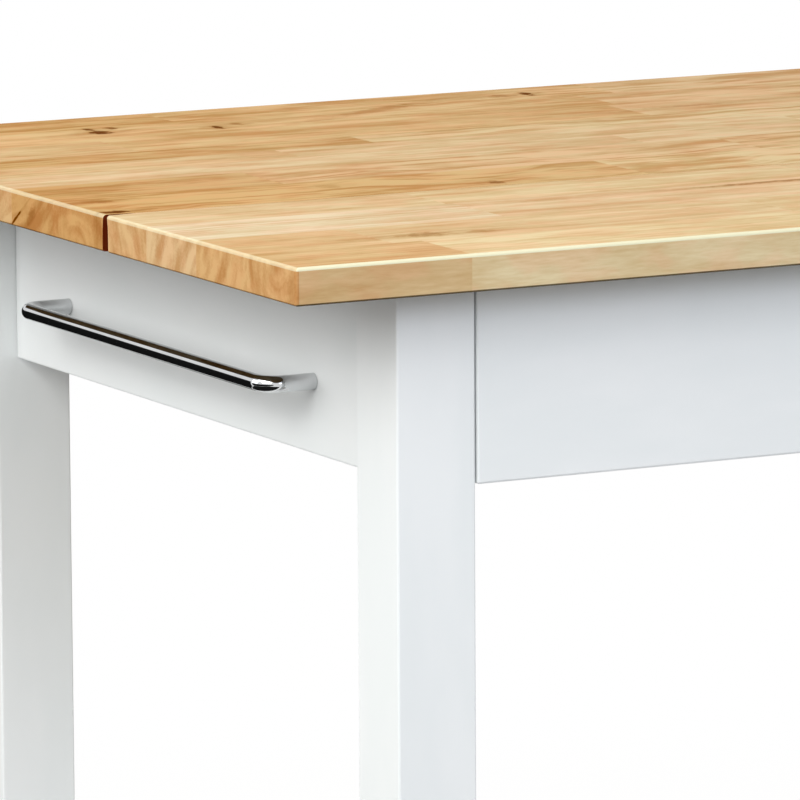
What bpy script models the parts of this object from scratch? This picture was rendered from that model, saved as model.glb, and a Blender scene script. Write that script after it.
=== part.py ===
"""Kitchen island: a butcher-block worktop on a painted frame, with a drawer, a shelf and a towel rail.

Metres, +Z up. The origin is on the floor under the middle of the worktop, the drawer faces -Y and the towel
rail is on the -X end.
"""

import math

import bmesh
import bpy
from mathutils import Matrix, Vector

# Worktop
TOP_LENGTH = 1.000
TOP_DEPTH = 0.800
TOP_THICKNESS = 0.026
TOP_HEIGHT = 0.900
TOP_EDGE_ROUND = 0.003
TOP_UNDER_EASE = 0.001
JOINT_FROM_FRONT = 0.294
TONGUE_DEPTH = 0.010
TONGUE_THICKNESS = 0.008
TONGUE_STOP = 0.040
SLIT_MOUTH = 0.0055
SLIT_DEPTH = 0.024

# Legs, aprons and the joints between them
LEG_WIDTH = 0.060
END_OVERHANG = 0.098
SIDE_OVERHANG = 0.045
APRON_HEIGHT = 0.138
APRON_THICKNESS = 0.020
APRON_RECESS = 0.016
TENON_THICKNESS = 0.010
TENON_LENGTH = 0.024
TENON_SHOULDER = 0.012
TENON_WALL = 0.005
WOOD_EASE = 0.0015
BOX_EASE = 0.0008

# Flat rails under the worktop
FLAT_RAIL_THICKNESS = 0.020
CROSS_RAIL_WIDTH = 0.060
FLAT_TENON_THICKNESS = 0.008
FLAT_TENON_LENGTH = 0.012
FLAT_TENON_SHOULDER = 0.008

# Foot glides
GLIDE_RADIUS = 0.016
GLIDE_HEIGHT = 0.005
GLIDE_EASE = 0.0015
GLIDE_PIN_RADIUS = 0.003
GLIDE_PIN_LENGTH = 0.020

# Towel rail, a bent round bar on the left end apron
RAIL_DIAMETER = 0.012
RAIL_CENTRES = 0.400
RAIL_STANDOFF = 0.037
RAIL_BEND_RADIUS = 0.013
RAIL_DROP = 0.0865

# Drawer pull, the same bar at a smaller size
PULL_DIAMETER = 0.010
PULL_CENTRES = 0.128
PULL_STANDOFF = 0.030
PULL_BEND_RADIUS = 0.011

# Machine screws of the rail and the pull
BOLT_DIAMETER = 0.004
BOLT_BITE = 0.012
BOLT_HEAD_DIAMETER = 0.008
BOLT_HEAD_HEIGHT = 0.0028

# Drawer
DRAWER_REVEAL = 0.0015
DRAWER_FRONT_THICKNESS = 0.018
DRAWER_FRONT_CLEAR = 0.002
DRAWER_SIDE_HEIGHT = 0.100
DRAWER_SIDE_LENGTH = 0.440
DRAWER_SIDE_THICKNESS = 0.012
DRAWER_SIDE_RAISE = 0.0115
DRAWER_BACK_THICKNESS = 0.012
DRAWER_BACK_SETBACK = 0.008
DRAWER_BOTTOM_THICKNESS = 0.006
DRAWER_BOTTOM_RAISE = 0.010
HOUSING_DEPTH = 0.005

# Telescopic slides
SLIDE_WIDTH = 0.0127
SLIDE_HEIGHT = 0.045
SLIDE_LENGTH = 0.450
SLIDE_SHEET = 0.0012
SLIDE_RUN_GAP = 0.0004
BATTEN_HEIGHT = 0.060
BATTEN_RAIL_CLEAR = 0.050

# Clips that hold the worktop down
CLIP_SHEET = 0.0016
CLIP_WIDTH = 0.020
CLIP_PLATE = 0.024
CLIP_TONGUE = 0.008
CLIP_DROP = 0.012
CLIP_REAR_CENTRES = 0.360
CLIP_SCREW_DIAMETER = 0.004
CLIP_SCREW_LENGTH = 0.016
CLIP_SCREW_HEAD_DIAMETER = 0.0075
CLIP_SCREW_HEAD_HEIGHT = 0.0025

# Slatted shelf
SHELF_TOP = 0.210
SHELF_RAIL_HEIGHT = 0.060
SHELF_RAIL_THICKNESS = 0.030
SHELF_REBATE = 0.012
SLAT_COUNT = 8
SLAT_THICKNESS = 0.018
SLAT_GAP = 0.017
SLAT_END_CLEAR = 0.010

# Clearances and mesh detail
SEAT_GAP = 0.0003
CUT_MARGIN = 0.005
WELD_DISTANCE = 0.00001
BEVEL_STEPS = 2
ROUND_STEPS = 24
BOLT_STEPS = 12
BEND_POINTS = 7
BAR_RESOLUTION = 4
SMOOTH_ANGLE = math.radians(40)

# Shares of a pan head: how high its rim stands, and how wide its flat crown is
HEAD_RIM_SHARE = 0.6
HEAD_CROWN_SHARE = 0.7

# Levels that follow from the sizes above
UNDERSIDE = TOP_HEIGHT - TOP_THICKNESS
FRAME_TOP = UNDERSIDE - SEAT_GAP
HALF_LENGTH = TOP_LENGTH / 2
HALF_DEPTH = TOP_DEPTH / 2
JOINT_Y = JOINT_FROM_FRONT - HALF_DEPTH
LEG_OUTER_X = HALF_LENGTH - END_OVERHANG
LEG_INNER_X = LEG_OUTER_X - LEG_WIDTH
LEG_OUTER_Y = HALF_DEPTH - SIDE_OVERHANG
LEG_INNER_Y = LEG_OUTER_Y - LEG_WIDTH
APRON_OUTER_X = LEG_OUTER_X - APRON_RECESS
APRON_INNER_X = APRON_OUTER_X - APRON_THICKNESS
APRON_OUTER_Y = LEG_OUTER_Y - APRON_RECESS
APRON_INNER_Y = APRON_OUTER_Y - APRON_THICKNESS
APRON_BOTTOM = UNDERSIDE - APRON_HEIGHT
APRON_MIDDLE_X = (APRON_OUTER_X + APRON_INNER_X) / 2
LONG_TENON_LENGTH = APRON_MIDDLE_X - TENON_THICKNESS / 2 - TENON_WALL - LEG_INNER_X
FLAT_RAIL_BOTTOM = FRAME_TOP - FLAT_RAIL_THICKNESS
DRAWER_FACE_Y = -LEG_OUTER_Y
DRAWER_FRONT_BACK_Y = DRAWER_FACE_Y + DRAWER_FRONT_THICKNESS
FRONT_RAIL_FACE_Y = DRAWER_FRONT_BACK_Y + DRAWER_FRONT_CLEAR
DRAWER_FRONT_TOP = UNDERSIDE - DRAWER_REVEAL
DRAWER_FRONT_BOTTOM = DRAWER_FRONT_TOP - APRON_HEIGHT
DRAWER_SIDE_BOTTOM = DRAWER_FRONT_BOTTOM + DRAWER_SIDE_RAISE
DRAWER_SIDE_TOP = DRAWER_SIDE_BOTTOM + DRAWER_SIDE_HEIGHT
DRAWER_OUTER_X = LEG_INNER_X - SLIDE_WIDTH
DRAWER_INNER_X = DRAWER_OUTER_X - DRAWER_SIDE_THICKNESS
DRAWER_REAR_Y = DRAWER_FRONT_BACK_Y + DRAWER_SIDE_LENGTH
DRAWER_BOTTOM_LOW = DRAWER_SIDE_BOTTOM + DRAWER_BOTTOM_RAISE
DRAWER_BOTTOM_HIGH = DRAWER_BOTTOM_LOW + DRAWER_BOTTOM_THICKNESS
DRAWER_BACK_REAR_Y = DRAWER_REAR_Y - DRAWER_BACK_SETBACK
DRAWER_BACK_FRONT_Y = DRAWER_BACK_REAR_Y - DRAWER_BACK_THICKNESS
PULL_Z = (DRAWER_FRONT_TOP + DRAWER_FRONT_BOTTOM) / 2
SLIDE_Z = (DRAWER_SIDE_TOP + DRAWER_SIDE_BOTTOM) / 2
SLIDE_FRONT_Y = FRONT_RAIL_FACE_Y
SLIDE_MIDDLE_Y = SLIDE_FRONT_Y + SLIDE_LENGTH / 2
BATTEN_HALF_LENGTH = RAIL_CENTRES / 2 - BATTEN_RAIL_CLEAR
TOWEL_RAIL_Z = UNDERSIDE - RAIL_DROP
SHELF_RAIL_BOTTOM = SHELF_TOP - SHELF_RAIL_HEIGHT
SHELF_RAIL_INNER_Y = APRON_OUTER_Y - SHELF_RAIL_THICKNESS

# Finishes: colour, roughness, metallic
WHITE_PAINT = ("white_paint", (0.80, 0.81, 0.83), 0.45, 0.0)
BUTCHER_BLOCK = ("butcher_block", (0.74, 0.49, 0.24), 0.40, 0.0)
BIRCH = ("birch", (0.76, 0.62, 0.42), 0.55, 0.0)
CHROME = ("chrome", (0.78, 0.79, 0.80), 0.06, 1.0)
ZINC_STEEL = ("zinc_steel", (0.55, 0.56, 0.57), 0.35, 1.0)
GREY_NYLON = ("grey_nylon", (0.32, 0.33, 0.34), 0.50, 0.0)

SIDES = (("left", -1), ("right", 1))
ENDS = (("front", -1), ("rear", 1))


def clear_scene():
    """Remove whatever the file held before."""
    for item in list(bpy.data.objects):
        bpy.data.objects.remove(item, do_unlink=True)


def collection(name):
    """A new collection under the scene's own."""
    made = bpy.data.collections.new(name)
    bpy.context.scene.collection.children.link(made)
    return made


def finish_material(finish):
    """The material of a finish, made once."""
    name, colour, roughness, metallic = finish
    found = bpy.data.materials.get(name)
    if found:
        return found
    material = bpy.data.materials.new(name)
    material.use_nodes = True
    shader = material.node_tree.nodes["Principled BSDF"]
    shader.inputs["Base Color"].default_value = (*colour, 1.0)
    shader.inputs["Roughness"].default_value = roughness
    shader.inputs["Metallic"].default_value = metallic
    return material


def add_object(name, mesh, finish=None):
    """Put a mesh in the scene: with a finish it is a part, without one a hidden cutter."""
    item = bpy.data.objects.new(name, mesh)
    if finish:
        mesh.materials.append(finish_material(finish))
        bpy.data.collections["kitchen_island"].objects.link(item)
        return item
    bpy.data.collections["kitchen_island_cutters"].objects.link(item)
    item.hide_render = True
    item.display_type = "WIRE"
    return item


def box_mesh(name, size, taper=1.0):
    """A box mesh about its own centre; taper narrows its +X end in Y."""
    shape = bmesh.new()
    bmesh.ops.create_cube(shape, size=1.0)
    for vertex in shape.verts:
        narrow = taper if vertex.co.x > 0 else 1.0
        vertex.co *= Vector(size)
        vertex.co.y *= narrow
    mesh = bpy.data.meshes.new(name)
    shape.to_mesh(mesh)
    shape.free()
    return mesh


def box(name, low, high, finish=None, taper=1.0):
    """A box between two corners."""
    low, high = Vector(low), Vector(high)
    item = add_object(name, box_mesh(name, high - low, taper), finish)
    item.location = (low + high) / 2
    return item


def mirrored_span(sign, near, far):
    """A span on the side that sign gives, lowest value first."""
    return (near, far) if sign > 0 else (-far, -near)


def ease_edges(item, width):
    """Round every edge a little."""
    bevel = item.modifiers.new("eased_edges", "BEVEL")
    bevel.width = width
    bevel.segments = BEVEL_STEPS
    bevel.limit_method = "ANGLE"


def ease_weighted(item, width, weight_of):
    """Round each edge by its own share of width, which weight_of gives from the edge's middle."""
    shape = bmesh.new()
    shape.from_mesh(item.data)
    layer = shape.edges.layers.float.new("bevel_weight_edge")
    for edge in shape.edges:
        first, last = edge.verts
        edge[layer] = weight_of((first.co + last.co) / 2 + item.location)
    shape.to_mesh(item.data)
    shape.free()
    bevel = item.modifiers.new("eased_edges", "BEVEL")
    bevel.width = width
    bevel.segments = BEVEL_STEPS
    bevel.limit_method = "WEIGHT"


def boolean(item, other, operation):
    """Cut other from item, or join other to it."""
    step = item.modifiers.new(other.name, "BOOLEAN")
    step.operation = operation
    step.solver = "EXACT"
    step.object = other


def cut(item, cutter):
    """Cut a cutter's shape out of a part."""
    boolean(item, cutter, "DIFFERENCE")


def join(item, other):
    """Join a helper's shape to a part."""
    boolean(item, other, "UNION")


def bore(name, start, direction, radius, length):
    """A round cutter from start along direction."""
    shape = bmesh.new()
    bmesh.ops.create_cone(
        shape,
        cap_ends=True,
        segments=BOLT_STEPS,
        radius1=radius,
        radius2=radius,
        depth=length,
        matrix=Matrix.Translation((0, 0, length / 2)),
    )
    mesh = bpy.data.meshes.new(name)
    shape.to_mesh(mesh)
    shape.free()
    item = add_object(name, mesh)
    item.location = start
    item.rotation_euler = Vector((0, 0, 1)).rotation_difference(Vector(direction)).to_euler()
    return item


def tenon_with_mortise(rail, host, name, low, high, seated):
    """Join a tenon to rail and cut its mortise from host.

    seated is the tenon's low and high corner inside the host; low to high also reaches back into the rail.
    """
    join(rail, box(f"{name}_tenon", low, high))
    spread = Vector((SEAT_GAP, SEAT_GAP, SEAT_GAP))
    cut(host, box(f"{name}_mortise", Vector(seated[0]) - spread, Vector(seated[1]) + spread))


def mesh_from_curve(name, curve, finish, matrix):
    """Turn a curve object into a mesh part with its caps welded, and drop the curve."""
    guide = bpy.data.objects.new(f"{name}_guide", curve)
    bpy.context.scene.collection.objects.link(guide)
    guide.matrix_world = matrix
    bpy.context.view_layer.update()
    graph = bpy.context.evaluated_depsgraph_get()
    mesh = bpy.data.meshes.new_from_object(guide.evaluated_get(graph))
    shape = bmesh.new()
    shape.from_mesh(mesh)
    bmesh.ops.remove_doubles(shape, verts=shape.verts, dist=WELD_DISTANCE)
    bmesh.ops.recalc_face_normals(shape, faces=shape.faces)
    shape.to_mesh(mesh)
    shape.free()
    mesh.materials.clear()
    item = add_object(name, mesh, finish)
    item.matrix_world = guide.matrix_world
    bpy.data.objects.remove(guide, do_unlink=True)
    return item


def extrusion(name, outline, length, finish, matrix):
    """A flat outline drawn out along its own Z, half its length to each side."""
    curve = bpy.data.curves.new(f"{name}_outline", "CURVE")
    curve.dimensions = "2D"
    curve.fill_mode = "BOTH"
    curve.extrude = length / 2
    spline = curve.splines.new("POLY")
    spline.points.add(len(outline) - 1)
    for point, (x, y) in zip(spline.points, outline):
        point.co = (x, y, 0, 1)
    spline.use_cyclic_u = True
    return mesh_from_curve(name, curve, finish, matrix)


def bow_route(centres, standoff, bend):
    """Points along a bow handle's middle line: out from one foot, round a bend, across, and back."""
    half = centres / 2
    route = [(-half, SEAT_GAP)]
    for corner_x, first_angle in ((-half + bend, math.pi), (half - bend, math.pi / 2)):
        for step in range(BEND_POINTS):
            angle = first_angle - math.pi / 2 * step / (BEND_POINTS - 1)
            route.append((corner_x + bend * math.cos(angle), standoff - bend + bend * math.sin(angle)))
    route.append((half, SEAT_GAP))
    return route


def bow_bar(name, diameter, route, matrix):
    """A round bar bent along route, in chrome."""
    curve = bpy.data.curves.new(f"{name}_route", "CURVE")
    curve.dimensions = "3D"
    curve.bevel_depth = diameter / 2
    curve.bevel_resolution = BAR_RESOLUTION
    curve.use_fill_caps = True
    spline = curve.splines.new("POLY")
    spline.points.add(len(route) - 1)
    for point, (x, y) in zip(spline.points, route):
        point.co = (x, y, 0, 1)
    return mesh_from_curve(name, curve, CHROME, matrix)


def turned(name, profile, finish, steps):
    """A solid turned about Z from a profile of (radius, height) points, listed from the top down."""
    mesh = bpy.data.meshes.new(name)
    points = [(radius, 0, height) for radius, height in profile]
    mesh.from_pydata(points, [(i, i + 1) for i in range(len(points) - 1)], [])
    item = add_object(name, mesh, finish)
    spin = item.modifiers.new("turned", "SCREW")
    spin.steps = steps
    spin.render_steps = steps
    spin.use_merge_vertices = True
    spin.merge_threshold = WELD_DISTANCE
    return item


def screw(name, diameter, length, head_diameter, head_height, place, direction):
    """A pan-head screw whose head seats at place and whose shank runs along direction."""
    radius, head = diameter / 2, head_diameter / 2
    profile = [
        (0, length),
        (radius, length),
        (radius, 0),
        (head, 0),
        (head, -head_height * HEAD_RIM_SHARE),
        (head * HEAD_CROWN_SHARE, -head_height),
        (0, -head_height),
    ]
    item = turned(name, profile, ZINC_STEEL, BOLT_STEPS)
    item.location = place
    item.rotation_euler = Vector((0, 0, 1)).rotation_difference(Vector(direction)).to_euler()
    return item


def worktop():
    """Two boards joined by a stopped tongue and groove, with the joint open at the left end."""
    joint_half = SEAT_GAP / 2
    middle = UNDERSIDE + TOP_THICKNESS / 2

    def weight_of(point):
        if abs(point.y - JOINT_Y) < 2 * SEAT_GAP:
            return 0.0
        if point.z < UNDERSIDE + SEAT_GAP:
            return TOP_UNDER_EASE / TOP_EDGE_ROUND
        return 1.0

    front = box(
        "top_front_panel",
        (-HALF_LENGTH, -HALF_DEPTH, UNDERSIDE),
        (HALF_LENGTH, JOINT_Y - joint_half, TOP_HEIGHT),
        BUTCHER_BLOCK,
    )
    rear = box(
        "top_rear_panel",
        (-HALF_LENGTH, JOINT_Y + joint_half, UNDERSIDE),
        (HALF_LENGTH, HALF_DEPTH, TOP_HEIGHT),
        BUTCHER_BLOCK,
    )
    for panel in (front, rear):
        ease_weighted(panel, TOP_EDGE_ROUND, weight_of)
    tongue_x = HALF_LENGTH - TONGUE_STOP
    tongue_low = Vector((-tongue_x, JOINT_Y - TONGUE_DEPTH, middle - TONGUE_THICKNESS / 2))
    tongue_high = Vector((tongue_x, JOINT_Y + TONGUE_DEPTH, middle + TONGUE_THICKNESS / 2))
    seated_high = Vector((tongue_x, JOINT_Y, tongue_high.z))
    tenon_with_mortise(rear, front, "top_joint", tongue_low, tongue_high, (tongue_low, seated_high))
    slit = box(
        "top_joint_slit",
        (-HALF_LENGTH - SLIT_DEPTH, JOINT_Y - SLIT_MOUTH, UNDERSIDE - CUT_MARGIN),
        (-HALF_LENGTH + SLIT_DEPTH, JOINT_Y + SLIT_MOUTH, TOP_HEIGHT + CUT_MARGIN),
        taper=SEAT_GAP / (2 * SLIT_MOUTH),
    )
    cut(front, slit)
    cut(rear, slit)
    return front, rear


def legs():
    """Four square legs, keyed by side and end, each on a nylon glide."""
    made = {}
    for side, x_sign in SIDES:
        for end, y_sign in ENDS:
            x_span = mirrored_span(x_sign, LEG_INNER_X, LEG_OUTER_X)
            y_span = mirrored_span(y_sign, LEG_INNER_Y, LEG_OUTER_Y)
            leg = box(
                f"leg_{end}_{side}",
                (x_span[0], y_span[0], GLIDE_HEIGHT + SEAT_GAP),
                (x_span[1], y_span[1], FRAME_TOP),
                WHITE_PAINT,
            )
            ease_edges(leg, WOOD_EASE)
            glide = turned(f"foot_glide_{end}_{side}", glide_profile(), GREY_NYLON, ROUND_STEPS)
            glide.location = (sum(x_span) / 2, sum(y_span) / 2, 0)
            pin_hole = bore(
                f"glide_hole_{end}_{side}",
                (glide.location.x, glide.location.y, -CUT_MARGIN),
                (0, 0, 1),
                GLIDE_PIN_RADIUS + SEAT_GAP,
                CUT_MARGIN + GLIDE_HEIGHT + GLIDE_PIN_LENGTH + 2 * SEAT_GAP,
            )
            cut(leg, pin_hole)
            made[side, end] = leg
    return made


def glide_profile():
    """Half section of a foot glide, from its pin's tip down to the floor."""
    tip = GLIDE_HEIGHT + GLIDE_PIN_LENGTH
    return [
        (0, tip),
        (GLIDE_PIN_RADIUS, tip - GLIDE_PIN_RADIUS),
        (GLIDE_PIN_RADIUS, GLIDE_HEIGHT),
        (GLIDE_RADIUS, GLIDE_HEIGHT),
        (GLIDE_RADIUS, GLIDE_EASE),
        (GLIDE_RADIUS - GLIDE_EASE, 0),
        (0, 0),
    ]


def end_rail(name, x_sign, side, low_z, high_z, leg_of):
    """A rail between the front and rear leg of one end, tenoned into both."""
    x_span = mirrored_span(x_sign, APRON_INNER_X, APRON_OUTER_X)
    reach = LEG_INNER_Y - SEAT_GAP
    rail = box(name, (x_span[0], -reach, low_z), (x_span[1], reach, high_z), WHITE_PAINT)
    ease_edges(rail, WOOD_EASE)
    half_tenon = TENON_THICKNESS / 2
    tenon_x = mirrored_span(x_sign, APRON_MIDDLE_X - half_tenon, APRON_MIDDLE_X + half_tenon)
    tenon_z = (low_z + TENON_SHOULDER, high_z - TENON_SHOULDER)
    for end, y_sign in ENDS:
        y_span = mirrored_span(y_sign, LEG_INNER_Y - TENON_LENGTH, LEG_INNER_Y + TENON_LENGTH)
        seat = mirrored_span(y_sign, LEG_INNER_Y, LEG_INNER_Y + TENON_LENGTH)
        tenon_with_mortise(
            rail,
            leg_of[side, end],
            f"{name}_{end}",
            (tenon_x[0], y_span[0], tenon_z[0]),
            (tenon_x[1], y_span[1], tenon_z[1]),
            ((tenon_x[0], seat[0], tenon_z[0]), (tenon_x[1], seat[1], tenon_z[1])),
        )
    return rail


def long_rail(name, y_span, tenon_thickness, shoulder, z_span, end, leg_of):
    """A rail between the left and right leg of the front or the rear, tenoned into both.

    shoulder is how far the tenon stands in from the rail's upper and lower edge.
    """
    reach = LEG_INNER_X - SEAT_GAP
    rail = box(name, (-reach, y_span[0], z_span[0]), (reach, y_span[1], z_span[1]), WHITE_PAINT)
    ease_edges(rail, WOOD_EASE)
    middle_y = sum(y_span) / 2
    tenon_y = (middle_y - tenon_thickness / 2, middle_y + tenon_thickness / 2)
    tenon_z = (z_span[0] + shoulder, z_span[1] - shoulder)
    for side, x_sign in SIDES:
        x_span = mirrored_span(x_sign, LEG_INNER_X - LONG_TENON_LENGTH, LEG_INNER_X + LONG_TENON_LENGTH)
        seat = mirrored_span(x_sign, LEG_INNER_X, LEG_INNER_X + LONG_TENON_LENGTH)
        tenon_with_mortise(
            rail,
            leg_of[side, end],
            f"{name}_{side}",
            (x_span[0], tenon_y[0], tenon_z[0]),
            (x_span[1], tenon_y[1], tenon_z[1]),
            ((seat[0], tenon_y[0], tenon_z[0]), (seat[1], tenon_y[1], tenon_z[1])),
        )
    return rail


def aprons(leg_of):
    """The two end aprons and the rear apron."""
    made = {}
    for side, x_sign in SIDES:
        made[side] = end_rail(f"end_apron_{side}", x_sign, side, APRON_BOTTOM, FRAME_TOP, leg_of)
    made["rear"] = long_rail(
        "rear_apron",
        (APRON_INNER_Y, APRON_OUTER_Y),
        TENON_THICKNESS,
        TENON_SHOULDER,
        (APRON_BOTTOM, FRAME_TOP),
        "rear",
        leg_of,
    )
    return made


def flat_rails(leg_of, rear_apron):
    """The flat rail behind the drawer front, and the cross rail that carries the worktop's joint."""
    front_y = (FRONT_RAIL_FACE_Y, -LEG_INNER_Y)
    front = long_rail(
        "front_top_rail",
        front_y,
        front_y[1] - front_y[0] - 2 * FLAT_TENON_SHOULDER,
        (FLAT_RAIL_THICKNESS - FLAT_TENON_THICKNESS) / 2,
        (FLAT_RAIL_BOTTOM, FRAME_TOP),
        "front",
        leg_of,
    )
    half = CROSS_RAIL_WIDTH / 2
    cross = box(
        "top_cross_rail",
        (-half, -LEG_INNER_Y + SEAT_GAP, FLAT_RAIL_BOTTOM),
        (half, APRON_INNER_Y - SEAT_GAP, FRAME_TOP),
        WHITE_PAINT,
    )
    ease_edges(cross, WOOD_EASE)
    middle_z = FRAME_TOP - FLAT_RAIL_THICKNESS / 2
    low_z, high_z = middle_z - FLAT_TENON_THICKNESS / 2, middle_z + FLAT_TENON_THICKNESS / 2
    tenon_x = half - FLAT_TENON_SHOULDER
    hosts = ((front, "front", -1, LEG_INNER_Y), (rear_apron, "rear", 1, APRON_INNER_Y))
    for host, end, y_sign, face in hosts:
        y_span = mirrored_span(y_sign, face - FLAT_TENON_LENGTH, face + FLAT_TENON_LENGTH)
        seat = mirrored_span(y_sign, face, face + FLAT_TENON_LENGTH)
        tenon_with_mortise(
            cross,
            host,
            f"top_cross_rail_{end}",
            (-tenon_x, y_span[0], low_z),
            (tenon_x, y_span[1], high_z),
            ((-tenon_x, seat[0], low_z), (tenon_x, seat[1], high_z)),
        )


def bolted_bow(name, sizes, foot, turn, carrier, wall):
    """A bow bar on a carrier, with a screw through the carrier's wall into each foot.

    sizes are the bar's diameter, centres, standoff and bend; foot is the middle between its feet on the
    carrier's face; turn is the angle about Z that points the bow away from the carrier.
    """
    diameter, centres, standoff, bend = sizes
    matrix = Matrix.Translation(foot) @ Matrix.Rotation(turn, 4, "Z")
    bar = bow_bar(name, diameter, bow_route(centres, standoff, bend), matrix)
    along = matrix.to_3x3() @ Vector((1, 0, 0))
    outward = matrix.to_3x3() @ Vector((0, 1, 0))
    for number, sign in ((1, -1), (2, 1)):
        seat = Vector(foot) + along * (sign * centres / 2) - outward * (wall + SEAT_GAP)
        length = wall + BOLT_BITE
        screw(
            f"{name}_screw_{number}",
            BOLT_DIAMETER,
            length,
            BOLT_HEAD_DIAMETER,
            BOLT_HEAD_HEIGHT,
            seat,
            outward,
        )
        hole = bore(
            f"{name}_hole_{number}",
            seat - outward * CUT_MARGIN,
            outward,
            BOLT_DIAMETER / 2 + SEAT_GAP,
            CUT_MARGIN + length + SEAT_GAP,
        )
        cut(bar, hole)
        cut(carrier, hole)
    return bar


def towel_rail(left_apron):
    """The bar on the left end apron that towels hang from."""
    sizes = (RAIL_DIAMETER, RAIL_CENTRES, RAIL_STANDOFF, RAIL_BEND_RADIUS)
    foot = (-APRON_OUTER_X, 0, TOWEL_RAIL_Z)
    bolted_bow("towel_rail", sizes, foot, math.pi / 2, left_apron, APRON_THICKNESS)


def worktop_clip(name, panel, apron, place, inward):
    """A Z-shaped clip: its tongue sits in a slot in the apron, its plate is screwed up into the worktop.

    place is the point of the apron's inner face under the worktop, inward the direction to the room's middle.
    """
    plate_top = -SEAT_GAP
    tongue_top = CLIP_SHEET - CLIP_DROP
    riser = SEAT_GAP
    outline = [
        (riser + CLIP_PLATE, plate_top),
        (riser, plate_top),
        (riser, tongue_top),
        (-CLIP_TONGUE, tongue_top),
        (-CLIP_TONGUE, tongue_top - CLIP_SHEET),
        (riser + CLIP_SHEET, tongue_top - CLIP_SHEET),
        (riser + CLIP_SHEET, plate_top - CLIP_SHEET),
        (riser + CLIP_PLATE, plate_top - CLIP_SHEET),
    ]
    inward = Vector(inward)
    up = Vector((0, 0, 1))
    across = inward.cross(up)
    turn = Matrix((inward, up, across)).transposed().to_4x4()
    clip = extrusion(name, outline, CLIP_WIDTH, ZINC_STEEL, Matrix.Translation(place) @ turn)
    middle = Vector(place) + up * (tongue_top - CLIP_SHEET / 2)
    deep = inward * (CLIP_TONGUE + SEAT_GAP)
    half = across * (CLIP_WIDTH / 2 + SEAT_GAP)
    tall = up * (CLIP_SHEET / 2 + SEAT_GAP)
    corners = [middle - deep - half - tall, middle + inward * CUT_MARGIN + half + tall]
    low = [min(pair) for pair in zip(*corners)]
    high = [max(pair) for pair in zip(*corners)]
    cut(apron, box(f"{name}_slot", low, high))
    seat = Vector(place) + inward * (riser + CLIP_PLATE / 2 + CLIP_SHEET / 2)
    seat += up * (plate_top - CLIP_SHEET - SEAT_GAP)
    screw(
        f"{name}_screw",
        CLIP_SCREW_DIAMETER,
        CLIP_SCREW_LENGTH,
        CLIP_SCREW_HEAD_DIAMETER,
        CLIP_SCREW_HEAD_HEIGHT,
        seat,
        up,
    )
    hole = bore(
        f"{name}_hole",
        seat - up * CUT_MARGIN,
        up,
        CLIP_SCREW_DIAMETER / 2 + SEAT_GAP,
        CUT_MARGIN + CLIP_SCREW_LENGTH + SEAT_GAP,
    )
    cut(clip, hole)
    cut(panel, hole)


def worktop_clips(front_panel, rear_panel, apron_of):
    """Two clips on each end apron, one for each board, and two on the rear apron."""
    board_middles = (
        ("front", front_panel, (JOINT_Y - LEG_INNER_Y) / 2),
        ("rear", rear_panel, (JOINT_Y + LEG_INNER_Y) / 2),
    )
    for side, x_sign in SIDES:
        for end, panel, y in board_middles:
            place = (x_sign * APRON_INNER_X, y, UNDERSIDE)
            worktop_clip(f"top_clip_{side}_{end}", panel, apron_of[side], place, (-x_sign, 0, 0))
        place = (x_sign * CLIP_REAR_CENTRES / 2, APRON_INNER_Y, UNDERSIDE)
        worktop_clip(f"top_clip_back_{side}", rear_panel, apron_of["rear"], place, (0, -1, 0))


def channel_outline(web, flange_end, half_height, x_sign):
    """A C-shaped sheet section: web is the X of the web's outer face, flange_end where the flanges stop."""
    step = SLIDE_SHEET if flange_end > web else -SLIDE_SHEET
    inner = half_height - SLIDE_SHEET
    outline = [
        (web, -half_height),
        (flange_end, -half_height),
        (flange_end, -inner),
        (web + step, -inner),
        (web + step, inner),
        (flange_end, inner),
        (flange_end, half_height),
        (web, half_height),
    ]
    return [(x_sign * x, z) for x, z in outline]


def slides(drawer_axis, carriage_axis):
    """A telescopic slide on each side: three nested channels, the last one on the drawer."""
    run = SLIDE_SHEET + SLIDE_RUN_GAP
    half = SLIDE_HEIGHT / 2
    cabinet_web = LEG_INNER_X - SEAT_GAP
    drawer_web = DRAWER_OUTER_X + SEAT_GAP
    flange_end = drawer_web + run
    members = (
        ("cabinet", cabinet_web, flange_end, half, None),
        ("middle", cabinet_web - run, flange_end, half - run, carriage_axis),
        ("drawer", drawer_web, cabinet_web - 2 * run, half - 2 * run, drawer_axis),
    )
    place = Matrix.Translation((0, SLIDE_MIDDLE_Y, SLIDE_Z)) @ Matrix.Rotation(math.pi / 2, 4, "X")
    for side, x_sign in SIDES:
        for member, web, end, height, axis in members:
            outline = channel_outline(web, end, height, x_sign)
            item = extrusion(f"slide_{member}_{side}", outline, SLIDE_LENGTH, ZINC_STEEL, place)
            if axis:
                carry(item, axis)


def slide_battens():
    """Blocks that bring the end aprons out to the legs' inner faces, to carry the slides."""
    for side, x_sign in SIDES:
        x_span = mirrored_span(x_sign, LEG_INNER_X, APRON_INNER_X - SEAT_GAP)
        batten = box(
            f"slide_batten_{side}",
            (x_span[0], -BATTEN_HALF_LENGTH, SLIDE_Z - BATTEN_HEIGHT / 2),
            (x_span[1], BATTEN_HALF_LENGTH, SLIDE_Z + BATTEN_HEIGHT / 2),
            WHITE_PAINT,
        )
        ease_edges(batten, WOOD_EASE)


def axis_empty(name, place):
    """An empty on a joint's axis, for the pieces that move with it."""
    empty = bpy.data.objects.new(name, None)
    bpy.data.collections["kitchen_island"].objects.link(empty)
    empty.location = place
    bpy.context.view_layer.update()
    return empty


def carry(item, axis):
    """Parent a piece to its joint's empty, leaving it where it is."""
    bpy.context.view_layer.update()
    item.parent = axis
    item.matrix_parent_inverse = axis.matrix_world.inverted()


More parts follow.
